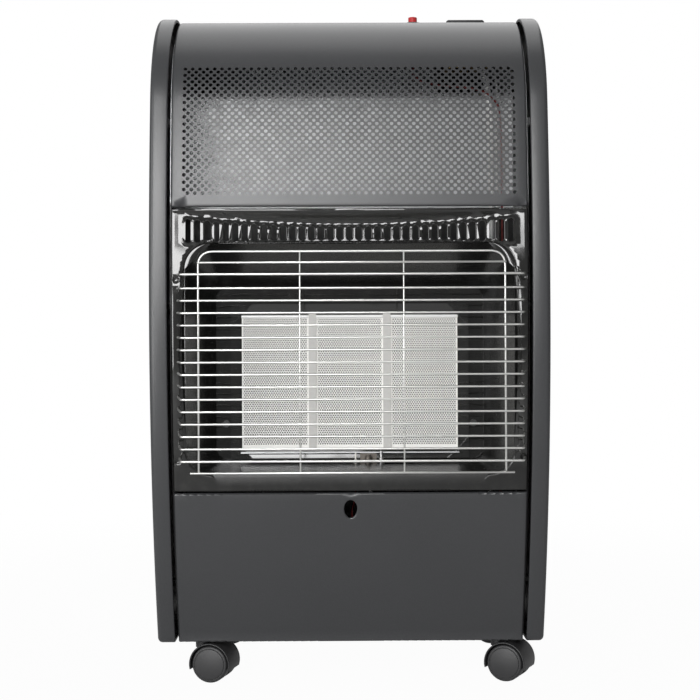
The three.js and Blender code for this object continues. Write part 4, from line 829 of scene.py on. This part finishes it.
def back_wall():
    """A flat net between the funnel's inner outline and the burner housing."""
    def place(x, z, depth):
        return np.stack([x, np.full_like(x, BACK_Y) + depth, z], -1)

    outline = outlined(-BACK_X, BACK_X, BACK_LOW, BACK_HIGH, 13.5)
    hole = rounded(-HOUSING_X, HOUSING_X, HOUSING_LOW, HOUSING_HIGH, 1.0, 2)
    net = net_points(-BACK_X + 8, BACK_X - 8, BACK_LOW + 8, BACK_HIGH - 8, 6)
    x, z = net.T
    far = (np.abs(x) > HOUSING_X + 2) | (z > HOUSING_HIGH + 2.2) | (z < HOUSING_LOW - 2.2)
    return two_skins(*flat_net(outline, [hole], net[far]), place)


funnel = mesh_object("reflector_funnel", *gathered([funnel_walls(), back_wall()]),
                     "enamel", "cabinet", "reflector_box", sharp=50)
funnel.data.materials[0] = FUNNEL_ENAMEL

# %% [markdown]
# ## The wire guard
# Nineteen level wires are welded across upright ones. The ends of most are bent back and hook into the
# surround. Each wire is a circle swept along its path, and a bend is a short quadratic curve.

# %% Wire guard
GUARD_Y, WIRE_R, SHIFT = -204.05, 1.2, 2.0
WIRES = 465.0 - np.cumsum([0, 11.5, 12.2, 14.5, *[12.84] * 14, 12.1])
LEVEL_SHARE, POST_SHARE = 0.97, 0.8


def bent(corners, radius, steps=6):
    """A path through corners, each rounded by a quadratic curve.

    The curve runs between the points a radius before and after the corner."""
    corners = np.asarray(corners, float)
    path = [corners[:1]]
    share = np.linspace(0, 1, steps + 1)[:, None]
    for before, corner, after in zip(corners, corners[1:], corners[2:]):
        arms = (before - corner, after - corner)
        a, b = (corner + arm * min(0.45, radius / np.linalg.norm(arm)) for arm in arms)
        path.append((1 - share) ** 2 * a + 2 * share * (1 - share) * corner + share**2 * b)
    return np.concatenate([*path, corners[-1:]])


def swept(path, radius, across, sides=12):
    """Circles square to a flat path, whose plane is square to `across`; each end is a little rounded."""
    along = np.gradient(path, axis=0)
    along /= np.linalg.norm(along, axis=1)[:, None]
    side = np.cross(along, across)
    side /= np.linalg.norm(side, axis=1)[:, None]
    other = np.cross(side, along)
    path = np.concatenate([path[:1], path, path[-1:]])
    side, other = (np.concatenate([v[:1], v, v[-1:]]) for v in (side, other))
    size = np.full(len(path), radius)
    size[[0, -1]] *= 0.7
    path[0] -= along[0] * radius * 0.4
    path[-1] += along[-1] * radius * 0.4
    angle = np.arange(sides) * 2 * math.pi / sides
    c, s = np.cos(angle)[None, :, None], np.sin(angle)[None, :, None]
    rings = path[:, None] + (c * side[:, None] + s * other[:, None]) * size[:, None, None]
    first, last = closing(len(path), sides)
    return rings.reshape(-1, 3), [*between_rings(len(path), sides).tolist(), first[::-1], last]


def wire_guard():
    """Level wires in front, uprights a wire's width behind them, one bent loop round the top."""
    up, back = np.array([0, 0, 1.0]), np.array([0, 1.0, 0])
    reach, post, corner = WINDOW_X + 5, WINDOW_X - 13.5, 16.0
    last = len(WIRES) - 1
    parts = []
    for i, z in enumerate(WIRES[1:], 1):
        radius = WIRE_R * LEVEL_SHARE * (1.14 if i in (2, last - 1) else 1.0)
        front = GUARD_Y + max(0.0, radius - WIRE_R)
        if i in (1, last):
            half = post + 0.6 if i == 1 else WINDOW_X - 5
            path = np.array([[-half, front, z], [0, front, z], [half, front, z]])
        else:
            end = float(on_front(reach, z, pressing(reach, z))[1]) - 0.4
            hook = z + (1.8 if i > 9 else 0.6)
            corners = [[-reach - 4, end, hook], [-reach, front, z], [reach, front, z], [reach + 4, end, hook]]
            path = bent(corners, 3.2)
        parts.append(swept(path, radius, up))
    behind = GUARD_Y + WIRE_R * 1.3
    loop = [[x, behind, WIRES[end]] for x, end in ((-post, -1), (-post, 0), (post, 0), (post, -1))]
    parts.append(swept(bent(loop, corner, 14), WIRE_R * LEVEL_SHARE, back))
    for x in (-54.0, 54.0):
        path = np.array([[x, behind, z] for z in (WIRES[0], 350.0, WIRES[-1])])
        parts.append(swept(path, WIRE_R * POST_SHARE, back))
    points, faces = gathered(parts)
    points = points + [SHIFT, 0, 0]
    return mesh_object("plated_guard", points, faces, "chrome_wire", "cabinet", "wire_guard", sharp=60)


wire_guard()

# %% [markdown]
# ## Turned pieces
# The wheels, the igniter and the knob's disc are solids of revolution: a profile of radius and height is
# turned about an axis. A wheel is a closed disc with a raised ring round its face.

# %% Turned pieces
def revolved(profile, sides):
    """Each profile point becomes a circle of that radius at that height; the ends lie on the axis."""
    profile = np.asarray(profile, float)
    angle = np.arange(sides) * 2 * math.pi / sides
    radius, height = profile[1:-1, :1], profile[1:-1, 1:]
    rings = np.stack([radius * np.cos(angle), radius * np.sin(angle), np.repeat(height, sides, 1)], -1)
    rings = rings.reshape(-1, 3)
    points = np.concatenate([rings, [[0, 0, profile[0, 1]], [0, 0, profile[-1, 1]]]])
    first, last = map(np.array, closing(len(height), sides))
    start, end = (np.full(sides, i) for i in (len(rings), len(rings) + 1))
    caps = [np.stack([np.roll(first, -1), first, start], 1), np.stack([last, np.roll(last, -1), end], 1)]
    return points, [*between_rings(len(height), sides).tolist(), *np.concatenate(caps).tolist()]


def facing(points, side):
    """Turns a piece made along Z so that its top faces -Y (side -1) or +Y (side 1)."""
    x, y, z = points.T
    return np.stack([x, z * side, -y * side], 1)


# %% [markdown]
# ## The casters
# Each swivel caster has two closed wheels under a thin fender, with a web between them and a boss round
# its stem. At rest the four stand at the angles that they had when the heater was last pushed.

# %% Casters
STEMS = {"front_left": (-163.0, -99.873, -13), "front_right": (163.0, -99.873, -24),
         "rear_left": (-163.0, 113.95, 16), "rear_right": (163.0, 113.95, -8)}
WHEEL_R, TRAIL, WHEEL_IN, WHEEL_OUT = 20.0, 13.0, 5.3, 19.7
HOOD_R, HOOD_SHEET, WEB_R, WEB_HALF = 23.0, 0.8, 7.0, 5.0


def wheel():
    """Profile: a flat face, a groove, a raised ring, the tread and the flat inner side."""
    inner = [(0, 2), (3.6, 2), (3.6, 0), (19.2, 0), (20, 0.8)]
    outer = [(20, 2.6), (19.6, 1.5), (18.9, 0.7), (18.0, 0.35), (17.4, 0.35), (17.1, 0.9), (16.6, 0.9),
             (16.2, 0.3), (15.6, 0.1), (0, 0)]
    profile = [(r, WHEEL_IN + deep) for r, deep in inner] + [(r, WHEEL_OUT - deep) for r, deep in outer]
    return revolved(profile, 48)


def fender():
    """A thin arc over the wheels, with rounded edges, is carried round the axle; a web and a boss join it."""
    half, low, high = WHEEL_OUT + 1, -0.3, math.pi + 0.25
    lip = np.linspace(0, math.pi, 7)
    edge = np.array([HOOD_R, half]) - HOOD_SHEET + HOOD_SHEET * np.stack([np.cos(lip), np.sin(lip)], 1)
    section = np.concatenate([edge, edge[::-1] * [1, -1]])
    turn, under = np.linspace(low, high, 41), np.linspace(high, 2 * math.pi + low, 9)[1:-1]

    def about_axle(radius, angle, y):
        """Places by their distance from the axle, their turn about it and their place along it."""
        x, y, z = np.broadcast_arrays(TRAIL + radius * np.cos(angle), y, WHEEL_R + radius * np.sin(angle))
        return np.stack([x, y, z], -1).reshape(-1, 3)

    first, last = closing(len(turn), len(section))
    shell = (about_axle(section[:, 0], turn[:, None], section[:, 1]),
             [*between_rings(len(turn), len(section))[:, ::-1].tolist(), first, last[::-1]])
    around = np.concatenate([turn, under])
    radius = np.where(around > high, WEB_R, HOOD_R - 1)
    n = len(around)
    first, last = closing(2, n)
    web = (np.concatenate([about_axle(radius, around, y) for y in (-WEB_HALF, WEB_HALF)]),
           [first, last[::-1], *between_rings(2, n)[:, [1, 0, 3, 2]].tolist()])
    boss = revolved([(0, 36), (8.2, 36), (8.4, 46.5), (7.6, 47.6), (3.6, 47.6), (3.6, 47.0), (0, 47.0)], 32)
    return gathered([shell, web, boss])


def settled(points, name):
    """Turns a caster's points about its stem and moves them under it."""
    x, y, degrees = STEMS[name]
    c, s = math.cos(math.radians(degrees)), math.sin(math.radians(degrees))
    px, py, pz = points.T
    return np.stack([x + c * px - s * py, y + s * px + c * py, pz], 1)


def casters():
    """Each caster has one fender and two wheels, all turned about its stem."""
    disc, faces = wheel()
    cover, cover_faces = fender()
    for name in STEMS:
        mesh_object(f"{name}_fender", settled(cover, name), cover_faces, "black_plastic",
                    f"{name}_caster", f"{name}_caster_hood")
        for side, letter in ((-1, "a"), (1, "b")):
            placed = settled(facing(disc, side) + [TRAIL, 0, WHEEL_R], name)
            mesh_object(f"{name}_disc_{letter}", placed, faces, "black_plastic",
                        f"{name}_wheel_{letter}", f"{name}_caster_wheel_{letter}")


casters()

# %% [markdown]
# ## Round the plaques
# The three plaques look out through a black frame, which hides the burner housing and holds the
# plaques' edges. Its inner edge is rolled forward, and the lower one is bare metal whose brightness is a
# painted highlight.

# %% Plaque frame
def plaque_frame():
    """A flat net with one hole, whose inner edge is a small quarter-circle roll towards the plaques."""
    low, high, half, corner = 253.6, 401.6, 118.7, 1.5
    outline = frame_line(-half - 12, half + 12, low - 9.5, high + 12, 8, 8)
    hole, *rings = (rounded(-half - grow, half + grow, low - grow, high + grow, corner + grow, 5)
                    for grow in (0, 0.4, 0.9, 1.5, 2.2))

    def place(x, z, depth):
        beside = np.maximum(np.abs(x) - half, np.abs(z - (low + high) / 2) - (high - low) / 2)
        return np.stack([x, np.full_like(x, PLAQUE_Y - 2.6) + depth + rolled(beside, 1.6) * 1.2, z], -1)

    points, skins = two_skins(*flat_net(outline, [hole], np.concatenate(rings)), place, 0.8)
    return mesh_object("plaque_frame", points, skins, "enamel", "cabinet")


def plaque_lip():
    """A half-round strip along the plaques' upper edge: its section is carried from end to end."""
    turn = np.linspace(-QUARTER, QUARTER, 9)
    section = np.stack([-0.3 - 1.3 * np.cos(turn), 1.8 * np.sin(turn)], 1)
    section = np.concatenate([section, [[-0.1, 1.8], [-0.1, -1.8]]]) + [PLAQUE_Y, 399.7]
    along = np.linspace(-119.0, 119.0, 25)
    n, m = len(section), len(along)
    points = np.column_stack([np.repeat(along, n), np.tile(section, (m, 1))])
    first, last = closing(m, n)
    faces = [*between_rings(m, n)[:, ::-1].tolist(), first, last[::-1]]
    lip = mesh_object("plaque_lip", points, faces, "plain_steel", "cabinet")
    # The lip is painted near-white: a painted highlight.
    lip.data.materials[0] = PAINTED_BRIGHT_ZINC
    return lip


plaque_frame()
plaque_lip()

# %% [markdown]
# ## Controls in the top
# The red button stands in a black bezel. The knob is a round disc with a grip bar across it, sunk in a
# square well. They are turned or swept again with finer edges than their solids have.

# %% Controls
def edge_of(radius, height, bend, steps=4):
    """A quarter circle that joins a wall at `radius` to a flat top at `height`."""
    turn = np.linspace(0, QUARTER, steps)
    return list(zip(radius - bend + bend * np.cos(turn), height - bend + bend * np.sin(turn)))


def igniter():
    """The button has a dished top. The bezel's bore is deep enough for the pushed button."""
    side = [(0, 719.2), (4.7, 719.2), *edge_of(5.0, 743.0, 0.9)]
    button, faces = revolved([*side, (2.5, 742.7), (0, 742.6)], 36)
    button = button + IGNITER
    mesh_object("red_button", button, faces, "red_plastic", "igniter_button", "igniter_button", sharp=50)
    outside = [(0, 692), (7, 690), (8, 692), (8, 732.4), (10.5, 732.4), *edge_of(10.5, 736.3, 1.6)]
    inside = [(7.8, 736.3), (5.9, 735.9), (5.5, 735.2), (5.5, 712.2), (0, 712.2)]
    bezel, faces = revolved([*outside, *inside], 36)
    bezel = bezel + IGNITER
    mesh_object("igniter_bezel", bezel, faces, "black_plastic", "cabinet", "igniter_body", sharp=50)


def grip_bar():
    """A rounded slab on edge: four outlines one behind the other, the outer two a little smaller."""
    half_x, low, high = 22.2, 729.0, 745.0
    line = rounded(-half_x, half_x, low, high, 3.2, 6)
    middle = line.mean(0)
    bar = []
    for y, shrink in ((-4.5, 0.6), (-3.9, 0.0), (3.9, 0.0), (4.5, 0.6)):
        ring = middle + (line - middle) * (1 - shrink / np.array([half_x, (high - low) / 2]))
        bar.append(np.insert(ring, 1, y, 1))
    first, last = closing(4, len(line))
    return np.concatenate(bar), [*between_rings(4, len(line)).tolist(), first[::-1], last]


def knob():
    """A disc in two steps, with the grip bar across it."""
    disc = revolved([(0, 727), (24.4, 727), (25, 727.6), *edge_of(25, 733.2, 1.8), (21.8, 733.4),
                     *edge_of(21.5, 735.2, 0.5), (0, 735.2)], 64)
    points, faces = gathered([disc, grip_bar()])
    mesh_object("knob", points + KNOB, faces, "black_plastic", "control_knob", "control_knob", sharp=40)


igniter()
knob()

# %% [markdown]
# ## Sharp-edged solids get softer edges
# Sheet-metal boxes have edges that are slightly rounded by the press and by their coating. A copy of the
# solid is merged, its flat triangles are joined, and a small bevel is put on what is left.

# %% Softened copies
def softened(node, name, width, finish=None, smooth_angle=35):
    """The copy's faces follow the solid; only edges turn round by `width` millimetres.

    Its finish is the solid's, unless another one is given."""
    source = frame["nodes"][node]
    grid = bmesh.new()
    grid.from_mesh(source.data)
    bmesh.ops.remove_doubles(grid, verts=grid.verts, dist=1e-6)
    bmesh.ops.dissolve_limit(grid, angle_limit=math.radians(1.5), verts=grid.verts, edges=grid.edges)
    mesh = bpy.data.meshes.new(name)
    grid.to_mesh(mesh)
    grid.free()
    mesh.materials.clear()
    mesh.materials.append(finish or FINISHES[FINISH_OF[node]])
    mesh.polygons.foreach_set("use_smooth", [True] * len(mesh.polygons))
    mesh.set_sharp_from_angle(angle=math.radians(smooth_angle))
    piece = bpy.data.objects.new(name, mesh)
    bpy.context.scene.collection.objects.link(piece)
    bevel = piece.modifiers.new("rounded edges", "BEVEL")
    bevel.width, bevel.segments, bevel.use_clamp_overlap = width * MM, 2, True
    bevel.limit_method, bevel.angle_limit = "ANGLE", math.radians(50)
    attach(piece, body_of(source)[0])
    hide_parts(node)
    print(name, len(mesh.polygons), "faces")
    return piece


softened("control_well", "well_tray", 0.5)
softened("gas_valve", "valve_casting", 1.0, FINISHES["brass"])
softened("burner_housing", "housing_pressing", 0.3, FINISHES["aluminium"])
softened("base_pan", "pan_tray", 0.3)
softened("rear_cover", "rear_cover_sheet", 0.35)
# The leaning shield is painted lighter than its zinc: painted light.
softened("heat_shield_top", "shield_lean", 0.2, PAINTED_LIGHT_ZINC)

# %% [markdown]
# ## Pipes and leads
# The solids of bent pipes have five or six flat sides. Their copies are divided again and again, each
# time with the corners cut, until they are round.

# %% Round pipes
def rounded_pipe(node, name, finish):
    """The corners of the solid's rings move in towards a round curve."""
    piece = softened(node, name, 0.0, finish, smooth_angle=60)
    piece.modifiers.clear()
    finer = piece.modifiers.new("round", "SUBSURF")
    finer.levels = finer.render_levels = 2


# The pipes are painted near-white: a painted highlight.
rounded_pipe("supply_pipe", "gas_pipe", PAINTED_BRIGHT_ZINC)
rounded_pipe("pilot_pipe", "pilot_gas_pipe", PAINTED_BRIGHT_ZINC)
rounded_pipe("ignition_lead", "lead_wire", FINISHES["red_silicone"])

# %% [markdown]
# ## Floor, backdrop and light
# The heater stands on a pale floor in front of white. A large soft lamp in front gives the satin panels
# their slow gradient. Weaker ones at the far left, low down and above keep the edges readable.

# %% Stage
FLOOR_SIDE, FLOOR_BACK, FLOOR_CELLS, FLOOR_DROP = 8000, 500, 20, 0.2
FLOOR_GREY, FLOOR_SEEN, FLOOR_SHINE = 0.4, 0.97, 0.3
SKY_SHINE, SKY_FILL = 0.2, 0.3
LAMPS = (("key", (-0.46, -2.25, 1.06), 0.42, (1.0, 0.82), 33),
         ("side", (-2.1, -1.5, 0.9), 0.40, (1.2, 1.4), 18),
         ("low", (-1.15, -2.2, 0.30), 0.45, (0.7, 0.5), 12),
         ("top", (0.1, 0.9, 2.4), 0.60, (1.8, 2.8), 24))


def pale_floor():
    """Diffuse grey for the shadow, mixed with plain white for the camera and for reflections.

    The camera sees a little less of the grey the farther off the floor is."""
    paint = Paint("pale_floor")
    rays = paint.node("LightPath", out="Is Camera Ray")
    shine = paint.node("LightPath", out="Is Glossy Ray")
    white = paint.node("Emission", sockets={"Color": (1, 1, 1, 1), "Strength": 1.0})
    paint.surface(Base_Color=(FLOOR_GREY,) * 3, Roughness=paint.noise(0.3) * 0.1 + 0.8)
    x, y, _, _ = paint.at()
    far = (x * x + y * y).root().step(0.5, 1.8)
    share = rays * (far * (1 - FLOOR_SEEN) + FLOOR_SEEN) + shine * FLOOR_SHINE
    mixed = paint.node("MixShader", sockets={0: share, 1: Wire(paint, paint.shader.outputs[0]), 2: white})
    paint.tree.links.new(mixed.socket, paint.tree.nodes["Material Output"].inputs["Surface"])
    return paint.material


def floor():
    """A level sheet of square cells, a hair below the wheels."""
    row = FLOOR_CELLS + 1
    line = np.linspace(-FLOOR_SIDE / 2, FLOOR_SIDE / 2, row)
    x, y = np.meshgrid(line, line + FLOOR_BACK)
    points = np.stack([x.ravel(), y.ravel(), np.full(x.size, -FLOOR_DROP)], 1) * MM
    a = (np.arange(FLOOR_CELLS)[:, None] * row + np.arange(FLOOR_CELLS)).ravel()
    mesh = bpy.data.meshes.new("floor")
    mesh.from_pydata(points.tolist(), [], np.stack([a, a + 1, a + row + 1, a + row], 1).tolist())
    mesh.materials.append(pale_floor())
    plane = bpy.data.objects.new("floor", mesh)
    bpy.context.scene.collection.objects.link(plane)


def lamp(name, place, aim_height, size, watts):
    """A soft rectangle that looks at the heater's middle line, at a height."""
    light = bpy.data.lights.new(name, "AREA")
    light.shape, light.size, light.size_y, light.energy = "RECTANGLE", size[0], size[1], watts
    made = bpy.data.objects.new(name, light)
    back = np.array(place) - [0, 0, aim_height]
    back /= np.linalg.norm(back)
    side = np.cross([0, 0, 1.0], back)
    side /= np.linalg.norm(side)
    made.matrix_world = standing(side, np.cross(back, side), back, place)
    bpy.context.scene.collection.objects.link(made)


def sky():
    """White to the camera, and dim grey as light and in reflections."""
    paint = Paint("studio", bpy.data.worlds, "Background")
    rays = ("Camera", "Transmission", "Glossy")
    seen, through, shine = (paint.node("LightPath", out=f"Is {ray} Ray") for ray in rays)
    strength = seen.top(through).top(shine * SKY_SHINE).top(SKY_FILL)
    bpy.context.scene.world = paint.surface(Color=(1, 1, 1), Strength=strength)


floor()
sky()
for settings in LAMPS:
    lamp(*settings)
print("stage ready:", len(LAMPS), "lamps")
